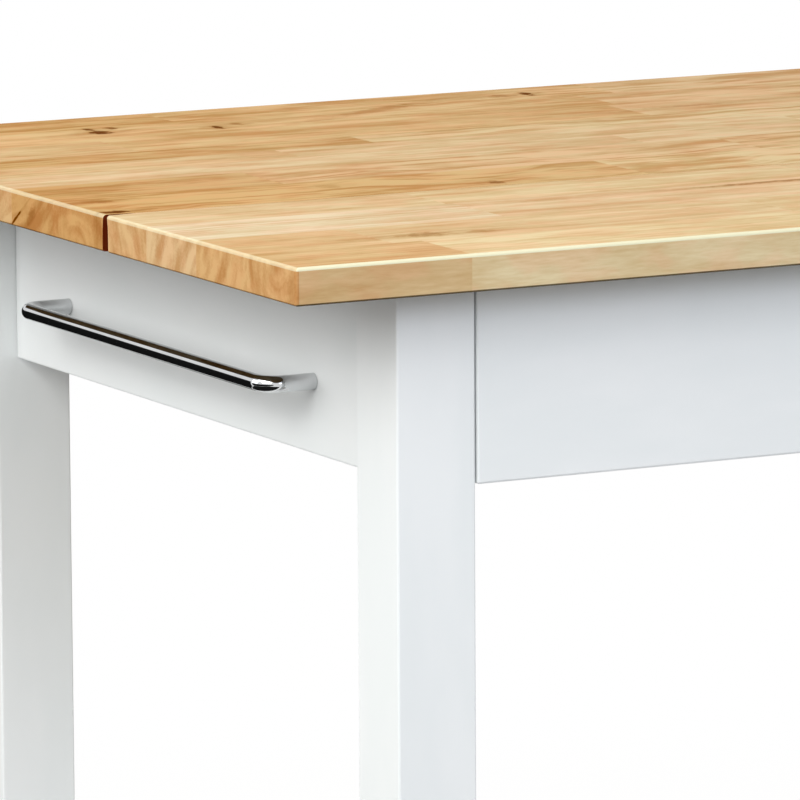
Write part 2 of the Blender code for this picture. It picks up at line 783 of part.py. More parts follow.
def drawer(axis):
    """The drawer: an inset front, a housed box and a bow pull."""
    half_front = LEG_INNER_X - DRAWER_REVEAL
    front = box(
        "drawer_front",
        (-half_front, DRAWER_FACE_Y, DRAWER_FRONT_BOTTOM),
        (half_front, DRAWER_FRONT_BACK_Y, DRAWER_FRONT_TOP),
        WHITE_PAINT,
    )
    ease_edges(front, WOOD_EASE)
    pieces = [front]
    bottom_x = DRAWER_INNER_X + HOUSING_DEPTH
    bottom_front_y = DRAWER_FRONT_BACK_Y - HOUSING_DEPTH
    bottom = box(
        "drawer_bottom",
        (-bottom_x, bottom_front_y, DRAWER_BOTTOM_LOW),
        (bottom_x, DRAWER_REAR_Y, DRAWER_BOTTOM_HIGH),
        BIRCH,
    )
    pieces.append(bottom)
    spread = Vector((SEAT_GAP, SEAT_GAP, SEAT_GAP))
    bottom_groove = box(
        "drawer_bottom_groove",
        Vector((-bottom_x, bottom_front_y, DRAWER_BOTTOM_LOW)) - spread,
        Vector((bottom_x, DRAWER_REAR_Y + CUT_MARGIN, DRAWER_BOTTOM_HIGH)) + spread,
    )
    back_x = DRAWER_INNER_X + HOUSING_DEPTH
    back_low = Vector((-back_x, DRAWER_BACK_FRONT_Y, DRAWER_BOTTOM_HIGH + SEAT_GAP))
    back_high = Vector((back_x, DRAWER_BACK_REAR_Y, DRAWER_SIDE_TOP))
    back = box("drawer_back", back_low, back_high, BIRCH)
    ease_edges(back, BOX_EASE)
    pieces.append(back)
    open_above = Vector((SEAT_GAP, SEAT_GAP, CUT_MARGIN))
    back_housing = box("drawer_back_housing", back_low - spread, back_high + open_above)
    for side, x_sign in SIDES:
        x_span = mirrored_span(x_sign, DRAWER_INNER_X, DRAWER_OUTER_X)
        low = Vector((x_span[0], bottom_front_y, DRAWER_SIDE_BOTTOM))
        high = Vector((x_span[1], DRAWER_REAR_Y, DRAWER_SIDE_TOP))
        board = box(f"drawer_side_{side}", low, high, BIRCH)
        ease_edges(board, BOX_EASE)
        cut(board, bottom_groove)
        cut(board, back_housing)
        cut(front, box(f"drawer_side_housing_{side}", low - spread, high + spread))
        pieces.append(board)
    cut(front, bottom_groove)
    sizes = (PULL_DIAMETER, PULL_CENTRES, PULL_STANDOFF, PULL_BEND_RADIUS)
    pull_foot = (0, DRAWER_FACE_Y, PULL_Z)
    pieces.append(bolted_bow("drawer_pull", sizes, pull_foot, math.pi, front, DRAWER_FRONT_THICKNESS))
    pieces += [bpy.data.objects[f"drawer_pull_screw_{number}"] for number in (1, 2)]
    for piece in pieces:
        carry(piece, axis)


def shelf(leg_of):
    """A slatted shelf low between the legs: two end rails, two rebated long rails, and slats across them."""
    for side, x_sign in SIDES:
        end_rail(f"shelf_end_rail_{side}", x_sign, side, SHELF_RAIL_BOTTOM, SHELF_TOP, leg_of)
    slat_bottom = SHELF_TOP - SLAT_THICKNESS
    for end, y_sign in ENDS:
        y_span = mirrored_span(y_sign, SHELF_RAIL_INNER_Y, APRON_OUTER_Y)
        rail = long_rail(
            f"shelf_rail_{end}",
            y_span,
            TENON_THICKNESS,
            TENON_SHOULDER,
            (SHELF_RAIL_BOTTOM, SHELF_TOP),
            end,
            leg_of,
        )
        rebate_y = mirrored_span(y_sign, SHELF_RAIL_INNER_Y - CUT_MARGIN, SHELF_RAIL_INNER_Y + SHELF_REBATE)
        rebate = box(
            f"shelf_rebate_{end}",
            (-LEG_INNER_X, rebate_y[0], slat_bottom - SEAT_GAP),
            (LEG_INNER_X, rebate_y[1], SHELF_TOP + CUT_MARGIN),
        )
        cut(rail, rebate)
    span = 2 * (LEG_INNER_X - SLAT_END_CLEAR)
    pitch = (span + SLAT_GAP) / SLAT_COUNT
    slat_y = SHELF_RAIL_INNER_Y + SHELF_REBATE - SEAT_GAP
    for number in range(SLAT_COUNT):
        start = -span / 2 + number * pitch
        slat = box(
            f"shelf_slat_{number + 1}",
            (start, -slat_y, slat_bottom),
            (start + pitch - SLAT_GAP, slat_y, SHELF_TOP),
            WHITE_PAINT,
        )
        ease_edges(slat, WOOD_EASE)


def shade_round_pieces():
    """Shade turned and bent pieces smooth, keeping their sharp edges."""
    round_finishes = [finish[0] for finish in (CHROME, ZINC_STEEL, GREY_NYLON)]
    for item in bpy.data.collections["kitchen_island"].objects:
        if item.type == "MESH" and item.data.materials[0].name in round_finishes:
            item.data.shade_smooth()
            item.data.set_sharp_from_angle(angle=SMOOTH_ANGLE)


def main():
    """Build the island."""
    clear_scene()
    collection("kitchen_island")
    collection("kitchen_island_cutters")
    front_panel, rear_panel = worktop()
    leg_of = legs()
    apron_of = aprons(leg_of)
    flat_rails(leg_of, apron_of["rear"])
    towel_rail(apron_of["left"])
    worktop_clips(front_panel, rear_panel, apron_of)
    drawer_axis = axis_empty("drawer_axis", (0, DRAWER_FACE_Y, SLIDE_Z))
    carriage_axis = axis_empty("slide_carriage_axis", (0, SLIDE_FRONT_Y, SLIDE_Z))
    slide_battens()
    slides(drawer_axis, carriage_axis)
    drawer(drawer_axis)
    shelf(leg_of)
    shade_round_pieces()


main()
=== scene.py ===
"""Looks of a kitchen island: a butcher-block worktop on a white frame, with a drawer, a shelf and a rail.

Metres, +Z up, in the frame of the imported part: the origin is on the floor under the middle of the worktop,
the drawer faces -Y and the towel rail is on the -X end.
"""

import logging
import math
import random
from collections.abc import Iterable, Sequence
from dataclasses import dataclass, field
from enum import Enum

import bmesh
import bpy
from mathutils import Matrix, Vector

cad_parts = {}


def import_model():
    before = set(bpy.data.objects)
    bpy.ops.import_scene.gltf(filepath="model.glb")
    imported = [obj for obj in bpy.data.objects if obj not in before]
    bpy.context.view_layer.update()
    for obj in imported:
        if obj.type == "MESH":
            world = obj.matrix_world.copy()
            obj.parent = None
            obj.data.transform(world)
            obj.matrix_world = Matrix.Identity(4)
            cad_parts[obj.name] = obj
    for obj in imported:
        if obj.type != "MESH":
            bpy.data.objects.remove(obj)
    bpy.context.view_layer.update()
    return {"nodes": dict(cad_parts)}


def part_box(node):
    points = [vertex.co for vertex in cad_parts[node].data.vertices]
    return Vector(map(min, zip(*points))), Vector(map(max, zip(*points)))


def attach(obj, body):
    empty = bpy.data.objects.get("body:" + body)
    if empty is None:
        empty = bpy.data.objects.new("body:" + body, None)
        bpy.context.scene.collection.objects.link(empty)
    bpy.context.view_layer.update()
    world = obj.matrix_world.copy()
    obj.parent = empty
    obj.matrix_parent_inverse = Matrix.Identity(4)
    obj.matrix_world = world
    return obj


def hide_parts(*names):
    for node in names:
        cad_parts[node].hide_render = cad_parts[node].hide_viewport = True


LOG = logging.getLogger("kitchen_island")

PHOTO_SIDE = 800
SIDES = ("left", "right")
ENDS = ("front", "rear")
RAYS = ("Camera", "Glossy", "Transmission")
NOISE_MEAN = 0.5
CUT_REACH = 1e-7

Colour = tuple[float, float, float]
Point = tuple[float, float, float]
Span = tuple[float, float]


def srgb(red: int, green: int, blue: int) -> Colour:
    """Turn a colour as a screen shows it into linear light, by the usual curve of sRGB.

    Args:
        red: Red, 0 to 255.
        green: Green, 0 to 255.
        blue: Blue, 0 to 255.

    Returns:
        The same colour in linear light, each part from 0 to 1.
    """
    parts = [part / 255 for part in (red, green, blue)]
    return tuple(p / 12.92 if p <= 0.04045 else ((p + 0.055) / 1.055) ** 2.4 for p in parts)


def blended(first: Colour, second: Colour, share: float) -> Colour:
    """A colour between two others.

    Args:
        first: The colour at share 0.
        second: The colour at share 1.
        share: How far to go from the first to the second.

    Returns:
        The colour there.
    """
    return tuple(a + (b - a) * share for a, b in zip(first, second))


class Axis(Enum):
    """The direction that a board's grain runs in."""

    X = 0
    Y = 1
    Z = 2

    def stretch(self, along: float, across: float) -> Point:
        """Scale factors for a pattern drawn out along the grain.

        Args:
            along: Repeats per metre along the grain.
            across: Repeats per metre across it.

        Returns:
            One factor for each of X, Y and Z.
        """
        return tuple(along if index == self.value else across for index in range(3))


class Tone(Enum):
    """The tones of wood that a maker sorts staves into."""

    CREAM = srgb(216, 199, 165)
    PALE = srgb(215, 193, 150)
    WHEAT = srgb(212, 187, 146)
    ROSE = srgb(214, 185, 144)
    HONEY = srgb(206, 176, 130)
    TAN = srgb(209, 176, 125)
    AMBER = srgb(198, 160, 105)
    BROWN = srgb(194, 156, 101)
    UMBER = srgb(190, 151, 95)


class Value:
    """A shader socket that takes part in Python arithmetic: each operator adds one Math node."""

    def __init__(self, graph: "Graph", socket: bpy.types.NodeSocket) -> None:
        """Wrap an output socket of a graph."""
        self.graph = graph
        self.socket = socket

    def __add__(self, other: "Operand") -> "Value":
        """This plus other."""
        return self.graph.math("ADD", self, other)

    __radd__ = __add__

    def __sub__(self, other: "Operand") -> "Value":
        """This less other."""
        return self.graph.math("SUBTRACT", self, other)

    def __rsub__(self, other: "Operand") -> "Value":
        """Other less this."""
        return self.graph.math("SUBTRACT", other, self)

    def __mul__(self, other: "Operand") -> "Value":
        """This times other."""
        return self.graph.math("MULTIPLY", self, other)

    __rmul__ = __mul__

    def __truediv__(self, other: "Operand") -> "Value":
        """This divided by other."""
        return self.graph.math("DIVIDE", self, other)

    def __rtruediv__(self, other: "Operand") -> "Value":
        """Other divided by this."""
        return self.graph.math("DIVIDE", other, self)

    def __abs__(self) -> "Value":
        """The size of this without its sign."""
        return self.graph.math("ABSOLUTE", self)

    def rise(self, low: float, high: float) -> "Value":
        """A smooth step from 0 to 1 as this goes from low to high, or back where low is above high."""
        inputs = {"Value": self, "From Min": low, "From Max": high}
        return self.graph.add("MapRange", {"interpolation_type": "SMOOTHSTEP"}, inputs)


Operand = Value | float


class Graph:
    """A node tree that Python expressions fill."""

    def __init__(self, tree: bpy.types.NodeTree, material: bpy.types.Material | None = None) -> None:
        """Start from an emptied tree.

        Args:
            tree: The node tree.
            material: The material that it belongs to, if it is not the world's.
        """
        self.tree = tree
        self.material = material
        tree.nodes.clear()

    @classmethod
    def of_material(cls, name: str) -> "Graph":
        """Start a new material.

        Args:
            name: The material's name.

        Returns:
            The material's graph.
        """
        material = bpy.data.materials.new(name)
        material.use_nodes = True
        return cls(material.node_tree, material)

    def node(
        self,
        kind: str,
        settings: dict[str, object] | None = None,
        inputs: dict[str | int, object] | None = None,
    ) -> bpy.types.Node:
        """Add a node.

        Args:
            kind: The node's type, without the ShaderNode in front.
            settings: Its properties, set before its sockets.
            inputs: A value or a link for each socket, by name or number.

        Returns:
            The node.
        """
        made = self.tree.nodes.new("ShaderNode" + kind)
        for key, setting in (settings or {}).items():
            setattr(made, key, setting)
        for key, value in (inputs or {}).items():
            if isinstance(value, Value):
                self.tree.links.new(value.socket, made.inputs[key])
            else:
                made.inputs[key].default_value = value
        return made

    def add(
        self,
        kind: str,
        settings: dict[str, object] | None = None,
        inputs: dict[str | int, object] | None = None,
        output: str | int = 0,
    ) -> Value:
        """Add a node and take one of its outputs.

        Args:
            kind: The node's type, as for node.
            settings: Its properties, as for node.
            inputs: Its sockets, as for node.
            output: The output's name or number.

        Returns:
            The output as a value.
        """
        return Value(self, self.node(kind, settings, inputs).outputs[output])

    def math(self, operation: str, *operands: Operand) -> Value:
        """Add one Math node.

        Args:
            operation: The node's operation.
            operands: Its inputs, in order.

        Returns:
            The result.
        """
        return self.add("Math", {"operation": operation}, dict(enumerate(operands)))

    def place(self) -> Value:
        """The point of the piece, in metres in the part's frame."""
        return self.add("TexCoord", output="Object")

    def mark(self, name: str, output: str) -> Value:
        """What a mesh's faces have written on them under a name."""
        return self.add("Attribute", {"attribute_name": name}, output=output)

    def parts(self, vector: Value) -> tuple[Value, Value, Value]:
        """A vector's X, Y and Z."""
        split = self.node("SeparateXYZ", inputs={0: vector})
        return tuple(Value(self, output) for output in split.outputs)

    def joined(self, x: Operand, y: Operand, z: Operand) -> Value:
        """A vector from its parts."""
        return self.add("CombineXYZ", inputs={0: x, 1: y, 2: z})

    def scaled(self, vector: Value, factors: Point, shift: Value | Point = (0, 0, 0)) -> Value:
        """A vector stretched along each axis, then shifted.

        Args:
            vector: The vector.
            factors: One factor for each axis.
            shift: What is added afterwards.

        Returns:
            The new vector.
        """
        return self.add("VectorMath", {"operation": "MULTIPLY_ADD"}, {0: vector, 1: factors, 2: shift})

    def noise(self, place: Value, detail: float = 2.0, rough: float = 0.5) -> Value:
        """Cloudy noise with one blotch to a unit.

        Args:
            place: Where to look it up.
            detail: How many finer layers it has.
            rough: How strong the finer layers are.

        Returns:
            A value that mostly lies from 0.3 to 0.7.
        """
        inputs = {"Vector": place, "Scale": 1.0, "Detail": detail, "Roughness": rough}
        return self.add("TexNoise", {"noise_dimensions": "3D"}, inputs)

    def mixed(
        self,
        amount: Operand,
        first: Value | Colour,
        second: Value | Colour,
        blend: str = "MIX",
    ) -> Value:
        """Two colours mixed.

        Args:
            amount: How much of the second shows, 0 to 1.
            first: The colour below.
            second: The colour above.
            blend: How the second lies on the first.

        Returns:
            The mixed colour.
        """
        first, second = (c if isinstance(c, Value) else (*c, 1.0) for c in (first, second))
        settings = {"data_type": "RGBA", "blend_type": blend, "clamp_factor": True}
        # A Mix node keeps its sockets for colours under these numbers.
        inputs = {0: amount, 6: first, 7: second}
        return self.add("Mix", settings, inputs, output=2)

    def tinted(self, colour: Value, tint: Colour) -> Value:
        """A colour through a filter."""
        return self.mixed(1.0, colour, tint, "MULTIPLY")

    def shaded(self, amount: Value, colour: Value, light: Colour, dark: Colour) -> Value:
        """A colour through a light filter, or through a dark one where the amount is 1."""
        return self.mixed(amount, self.tinted(colour, light), self.tinted(colour, dark))

    def matt(self, tone: float) -> Value:
        """A matt grey shader."""
        return self.add("BsdfDiffuse", inputs={"Color": (tone, tone, tone, 1.0)})

    def bump(self, height: Value, depth: float, strength: float = 1.0) -> Value:
        """A bumped normal.

        Args:
            height: The relief, 0 to 1.
            depth: The height in metres that 1 stands for.
            strength: How much of the bump shows.

        Returns:
            The normal.
        """
        return self.add("Bump", inputs={"Strength": strength, "Distance": depth, "Height": height})

    def surface(self, fixed: dict[str, object], varying: dict[str, Value]) -> bpy.types.Material:
        """Close a material with its Principled shader.

        Args:
            fixed: Sockets that are the same all over.
            varying: Sockets that change over the surface.

        Returns:
            The material.
        """
        shader = self.add("BsdfPrincipled", inputs={**fixed, **varying})
        self.node("OutputMaterial", inputs={"Surface": shader})
        return self.material


@dataclass(frozen=True)
class Layer:
    """A layer of noise: repeats per metre along the grain and across it, finer layers and their strength."""

    along: float
    across: float
    detail: float = 2.0
    rough: float = 0.5

    def on(self, place: Value, axis: Axis = Axis.X, drift: Value | Point = (0, 0, 0)) -> Value:
        """The layer over a surface.

        Args:
            place: The point of the surface.
            axis: The direction of the grain.
            drift: How far the noise is moved, in its own repeats.

        Returns:
            The noise there.
        """
        graph = place.graph
        stretched = graph.scaled(place, axis.stretch(self.along, self.across), drift)
        return graph.noise(stretched, self.detail, self.rough)


def balanced(*layers: tuple[Value, float]) -> Value:
    """Add layers of noise, less their mean, so that the sum lies about 0.

    Args:
        layers: Each layer and its weight.

    Returns:
        The sum.
    """
    first, *others = [noise * weight for noise, weight in layers]
    return sum(others, first) - sum(weight for _, weight in layers) * NOISE_MEAN


@dataclass(frozen=True)
class Knot:
    """A knot or a dark streak: its middle, half length, half width, depth of colour, and turn in degrees."""

    x: float
    y: float
    length: float
    width: float
    depth: float = 1.0
    turn: float = 0.0

    def spread(self, x: Value, y: Value, reach: float = 1.0) -> Value:
        """How far a point lies from the middle.

        Args:
            x: The point's place along the face.
            y: The point's place across it.
            reach: How many times its length the knot is drawn out.

        Returns:
            0 in the middle and 1 on the rim.
        """
        cos = math.cos(math.radians(self.turn))
        sin = math.sin(math.radians(self.turn))
        along = ((x - self.x) * cos + (y - self.y) * sin) / (self.length * reach)
        aside = ((y - self.y) * cos - (x - self.x) * sin) / self.width
        return along * along + aside * aside


@dataclass(frozen=True)
class ButcherBlock:
    """Oiled beech staves: each has its own tone and its own heart, round which its growth rings run.
    """

    slot: str = "butcher_block"
    ring_pitch: float = 0.0042
    ring_step: float = 17.0
    ring_drift: float = 1.5
    ring_rough: float = 0.55
    ring_weight: float = 0.85
    arc_pitch: float = 0.0110
    arc_step: float = 9.0
    arc_drift: float = 30.0
    arc_weight: float = 2.4
    blot_stretch: Point = (0.0, 90.0, 55.0)
    blot_detail: float = 3.0
    blot_rough: float = 0.6
    blot_weight: float = 1.0
    drift_steps: Point = (3.7, 11.3, 5.1)
    sway: Layer = Layer(10.0, 8.0)
    sway_width: float = 0.022
    streaks: Layer = Layer(7.0, 75.0, 3.0, 0.6)
    streak_weight: float = 1.15
    clouds: Layer = Layer(10.0, 26.0, 3.0, 0.6)
    cloud_weight: float = 1.2
    flecks: Layer = Layer(75.0, 560.0, 2.0, 0.6)
    fleck_depth: float = 0.75
    pores: Layer = Layer(60.0, 1500.0)
    blush: Layer = Layer(24.0, 48.0, 3.0)
    blush_span: Span = (0.42, 0.60)
    blush_tint: Colour = (1.035, 0.948, 0.952)
    mean_dark: float = 0.38
    light_tint: Colour = (1.07, 1.09, 1.13)
    dark_tint: Colour = (0.80, 0.66, 0.50)
    end_span: Span = (0.55, 0.85)
    end_figure: float = 1.3
    end_tone: Colour = srgb(203, 165, 114)
    end_share: float = 0.45
    end_light_tint: Colour = (0.97, 0.89, 0.82)
    end_dark_tint: Colour = (0.72, 0.53, 0.38)
    # pale cream used for the painted highlight on the rounded edges
    edge_highlight_colour: Colour = srgb(226, 223, 192)
    knots: tuple[Knot, ...] = (
        Knot(-0.352, -0.302, 0.026, 0.011, 0.68),
        Knot(-0.310, -0.306, 0.013, 0.007, 0.60),
        Knot(-0.183, -0.089, 0.008, 0.011, 0.75),
        Knot(-0.488, -0.094, 0.013, 0.008, 1.00),
        Knot(-0.474, -0.040, 0.013, 0.010, 0.62),
        Knot(-0.296, -0.048, 0.010, 0.013, 0.45),
        Knot(-0.308, 0.330, 0.005, 0.008, 0.90),
        Knot(-0.307, 0.310, 0.011, 0.012, 1.00),
        Knot(-0.289, 0.330, 0.006, 0.009, 0.80),
        Knot(-0.217, 0.294, 0.006, 0.011, 0.95),
        Knot(-0.194, 0.306, 0.006, 0.009, 0.66),
        Knot(-0.062, 0.328, 0.058, 0.009, 0.55, 26.0),
        Knot(0.087, 0.360, 0.006, 0.013, 1.00),
        Knot(0.064, 0.358, 0.016, 0.009, 0.66),
        Knot(0.150, 0.228, 0.060, 0.007, 0.50, 3.0),
        Knot(0.000, -0.186, 0.090, 0.006, 0.70, 1.0),
    )
    checks: tuple[Knot, ...] = (
        Knot(0.043, 0.880, 0.013, 0.0013, 1.00, 145.0),
        Knot(0.018, 0.884, 0.013, 0.0045, 0.66, 140.0),
        Knot(-0.393, 0.885, 0.009, 0.0060, 0.45, 100.0),
    )
    knot_tint: Colour = (0.62, 0.46, 0.24)
    knot_colour: Colour = srgb(106, 56, 0)
    knot_rim: float = 1.6
    knot_push: float = 0.010
    core_span: Span = (0.55, 0.95)
    tail_reach: float = 2.4
    tail_depth: float = 0.42
    rag_stretch: Span = (120.0, 150.0)
    rag_detail: float = 3.0
    rag_rough: float = 0.65
    rag_depth: float = 2.4
    rough: float = 0.46
    rough_change: float = 0.10
    shine: float = 0.002
    relief: float = 0.00012
    relief_share: float = 0.6

    def material(self) -> bpy.types.Material:
        """The finish as a material.

        Returns:
            The material, which reads the staves' own tones, hearts and figure from their faces.
        """
        graph = Graph.of_material(self.slot)
        place = graph.place()
        x, y, z = graph.parts(place)
        heart = graph.parts(graph.mark("stave_heart", "Vector"))
        drift = graph.joined(*(heart[2] * step for step in self.drift_steps))
        normal_x, _, _ = graph.parts(graph.add("TexCoord", output="Normal"))
        end = abs(normal_x).rise(*self.end_span)
        knot = graph.math("MAXIMUM", self.mask(self.knots, x, y), self.mask(self.checks, y, z) * end)
        streaks = self.streaks.on(place, drift=drift)
        flecks = self.flecks.on(place, drift=drift) - NOISE_MEAN
        pores = self.pores.on(place, drift=drift)
        dark = self.grain(place, drift, heart, streaks, end, knot) + flecks * self.fleck_depth
        colour = self.colour(place, drift, dark, end, knot)
        rough = self.rough + streaks * self.rough_change + flecks * self.rough_change
        normal = graph.bump((streaks + pores) / 2, self.relief, self.relief_share)
        varying = {"Base Color": colour, "Roughness": rough, "Normal": normal}
        return graph.surface({"Specular IOR Level": self.shine}, varying)

    def grain(
        self,
        place: Value,
        drift: Value,
        heart: tuple[Value, Value, Value],
        streaks: Value,
        end: Value,
        knot: Value,
    ) -> Value:
        """How dark the growth rings make the wood.

        Args:
            place: The point of the surface.
            drift: How far the stave's own noise is moved.
            heart: The stave's heart across and up, and the stave's own number.
            streaks: The streaks along the stave.
            end: 1 on end grain and 0 on long grain.
            knot: How much of a knot shows.

        Returns:
            0 in the lightest wood and 1 in the darkest.
        """
        graph = place.graph
        x, y, z = graph.parts(place)
        heart_y, heart_z, seed = heart
        figure = graph.mark("stave_figure", "Fac")
        sway = self.sway.on(place, drift=drift)
        off_y = y - heart_y + (sway - NOISE_MEAN) * figure * self.sway_width + knot * self.knot_push
        off_z = z - heart_z
        radius = graph.math("SQRT", off_y * off_y + off_z * off_z)
        round_heart = graph.joined(radius / self.ring_pitch, seed * self.ring_step, x * self.ring_drift)
        rings = graph.noise(round_heart, rough=self.ring_rough)
        clouds = self.clouds.on(place, drift=drift)
        arcs = graph.noise(graph.joined(radius / self.arc_pitch, seed * self.arc_step, z * self.arc_drift))
        blotted = graph.scaled(place, self.blot_stretch, drift)
        blots = graph.noise(blotted, self.blot_detail, self.blot_rough)
        weights = (self.ring_weight, self.streak_weight, self.cloud_weight)
        long_grain = balanced(*zip((rings, streaks, clouds), weights))
        end_grain = balanced((arcs, self.arc_weight), (blots, self.blot_weight))
        return long_grain * figure * (1 - end) + end_grain * end * self.end_figure + self.mean_dark

    def colour(self, place: Value, drift: Value, dark: Value, end: Value, knot: Value) -> Value:
        """The wood's colour.

        Args:
            place: The point of the surface.
            drift: How far the stave's own noise is moved.
            dark: How dark the wood is.
            end: 1 on end grain and 0 on long grain.
            knot: How much of a knot shows.

        Returns:
            The colour.
        """
        graph = place.graph
        tone = graph.mark("stave_tone", "Color")
        blush = self.blush.on(place, drift=drift).rise(*self.blush_span)
        tone = graph.mixed(blush, tone, graph.tinted(tone, self.blush_tint))
        side_wood = graph.shaded(dark, tone, self.light_tint, self.dark_tint)
        tone = graph.mixed(self.end_share, tone, self.end_tone)
        end_wood = graph.shaded(dark, tone, self.end_light_tint, self.end_dark_tint)
        colour = graph.mixed(end, side_wood, end_wood)
        colour = graph.mixed(knot, colour, graph.tinted(colour, self.knot_tint))
        colour = graph.mixed(knot.rise(*self.core_span), colour, self.knot_colour)
        # painted highlight: the rounded edges are mixed towards the pale cream
        return graph.mixed(graph.mark("stave_painted_highlight", "Fac"), colour, self.edge_highlight_colour)

    def mask(self, knots: tuple[Knot, ...], x: Value, y: Value) -> Value:
        """Where some knots, streaks or checks lie, with the fainter tails that run on from them.

        Args:
            knots: The knots.
            x: The point's place along the face.
            y: The point's place across it.

        Returns:
            0 on plain wood, up to 1 in the middle of a knot.
        """
        graph = x.graph
        stretch_x, stretch_y = self.rag_stretch
        torn = graph.noise(graph.joined(x * stretch_x, y * stretch_y, 0.0), self.rag_detail, self.rag_rough)
        ragged = (torn - NOISE_MEAN) * self.rag_depth
        mask: Operand = 0.0
        for knot in knots:
            for reach, share in ((1.0, 1.0), (self.tail_reach, self.tail_depth)):
                near = (knot.spread(x, y, reach) + ragged).rise(self.knot_rim, 0.0)
                mask = graph.math("MAXIMUM", near * (knot.depth * share), mask)
        return mask


@dataclass(frozen=True)
class WhitePaint:
    """Satin white paint on wood: the grain and the brush show a little through it."""

    axis: Axis
    slot: str = "white_paint"
    light: Colour = srgb(242, 244, 245)
    shade: Colour = srgb(238, 241, 242)
    scuff: Colour = srgb(212, 209, 203)
    scuff_height: float = 0.09
    scuff_span: Span = (0.45, 0.62)
    scuff_depth: float = 0.6
    mottle: Layer = Layer(7.0, 21.0, 3.0)
    mottle_span: Span = (0.32, 0.68)
    grain: Layer = Layer(9.0, 240.0, 3.0, 0.6)
    grain_weight: float = 0.45
    brush: Layer = Layer(5.0, 1100.0, 1.0)
    brush_weight: float = 0.25
    peel: Layer = Layer(420.0, 420.0, 1.0)
    peel_weight: float = 0.30
    rough: float = 0.40
    mottle_rough: float = 0.12
    brush_rough: float = 0.06
    shine: float = 0.40
    relief: float = 0.00010
    relief_share: float = 0.55

    def material(self) -> bpy.types.Material:
        """The finish as a material.

        Returns:
            The material for boards whose grain runs along the axis.
        """
        graph = Graph.of_material(f"{self.slot}_{self.axis.name.lower()}")
        place = graph.place()
        layers = (self.mottle, self.grain, self.brush, self.peel)
        mottle, grain, brush, peel = (layer.on(place, self.axis) for layer in layers)
        _, _, z = graph.parts(place)
        colour = graph.mixed(mottle.rise(*self.mottle_span), self.light, self.shade)
        worn = z.rise(self.scuff_height, 0.0) * mottle.rise(*self.scuff_span) * self.scuff_depth
        colour = graph.mixed(worn, colour, self.scuff)
        rough = self.rough + mottle * self.mottle_rough + brush * self.brush_rough
        height = grain * self.grain_weight + brush * self.brush_weight + peel * self.peel_weight
        normal = graph.bump(height, self.relief, self.relief_share)
        varying = {"Base Color": colour, "Roughness": rough, "Normal": normal}
        return graph.surface({"Specular IOR Level": self.shine}, varying)


@dataclass(frozen=True)
class Birch:
    """Bare birch of the drawer box, with a thin clear lacquer."""

    axis: Axis
    slot: str = "birch"
    light: Colour = srgb(232, 210, 172)
    grain: Colour = srgb(206, 174, 128)
    grain_span: Span = (0.42, 0.70)
    grain_depth: float = 0.75
    sway: Layer = Layer(3.0, 14.0)
    sway_reach: float = 3.0
    bands: Layer = Layer(2.0, 55.0, 2.0, 0.6)
    band_weight: float = 0.6
    streaks: Layer = Layer(9.0, 300.0, 3.0, 0.6)
    streak_weight: float = 0.4
    pores: Layer = Layer(70.0, 1700.0, 1.0)
    rough: float = 0.46
    streak_rough: float = 0.12
    shine: float = 0.35
    relief: float = 0.00012
    relief_share: float = 0.6

    def material(self) -> bpy.types.Material:
        """The finish as a material.

        Returns:
            The material for boards whose grain runs along the axis.
        """
        graph = Graph.of_material(f"{self.slot}_{self.axis.name.lower()}")
        place = graph.place()
        sway = self.sway.on(place, self.axis) * self.sway_reach
        bands = self.bands.on(place, self.axis, graph.joined(sway, sway, sway))
        streaks = self.streaks.on(place, self.axis)
        pores = self.pores.on(place, self.axis)
        dark = (bands * self.band_weight + streaks * self.streak_weight).rise(*self.grain_span)
        colour = graph.mixed(dark * self.grain_depth, self.light, self.grain)
        rough = self.rough + streaks * self.streak_rough
        normal = graph.bump((streaks + pores) / 2, self.relief, self.relief_share)
        varying = {"Base Color": colour, "Roughness": rough, "Normal": normal}
        return graph.surface({"Specular IOR Level": self.shine}, varying)


@dataclass(frozen=True)
class Chrome:
    """Bright chrome plate with a faint bloom from handling."""

    slot: str = "chrome"
    bright: Colour = (0.63, 0.64, 0.65)
    dull: Colour = (0.56, 0.57, 0.58)
    bloom: Layer = Layer(28.0, 28.0, 3.0)
    bloom_span: Span = (0.45, 0.70)
    hair: Layer = Layer(300.0, 300.0)
    rough: float = 0.035
    bloom_rough: float = 0.03
    hair_rough: float = 0.02

    def material(self) -> bpy.types.Material:
        """The finish as a material.

        Returns:
            The material.
        """
        graph = Graph.of_material(self.slot)
        place = graph.place()
        bloom = self.bloom.on(place).rise(*self.bloom_span)
        colour = graph.mixed(bloom, self.bright, self.dull)
        rough = self.rough + bloom * self.bloom_rough + self.hair.on(place) * self.hair_rough
        return graph.surface({"Metallic": 1.0}, {"Base Color": colour, "Roughness": rough})


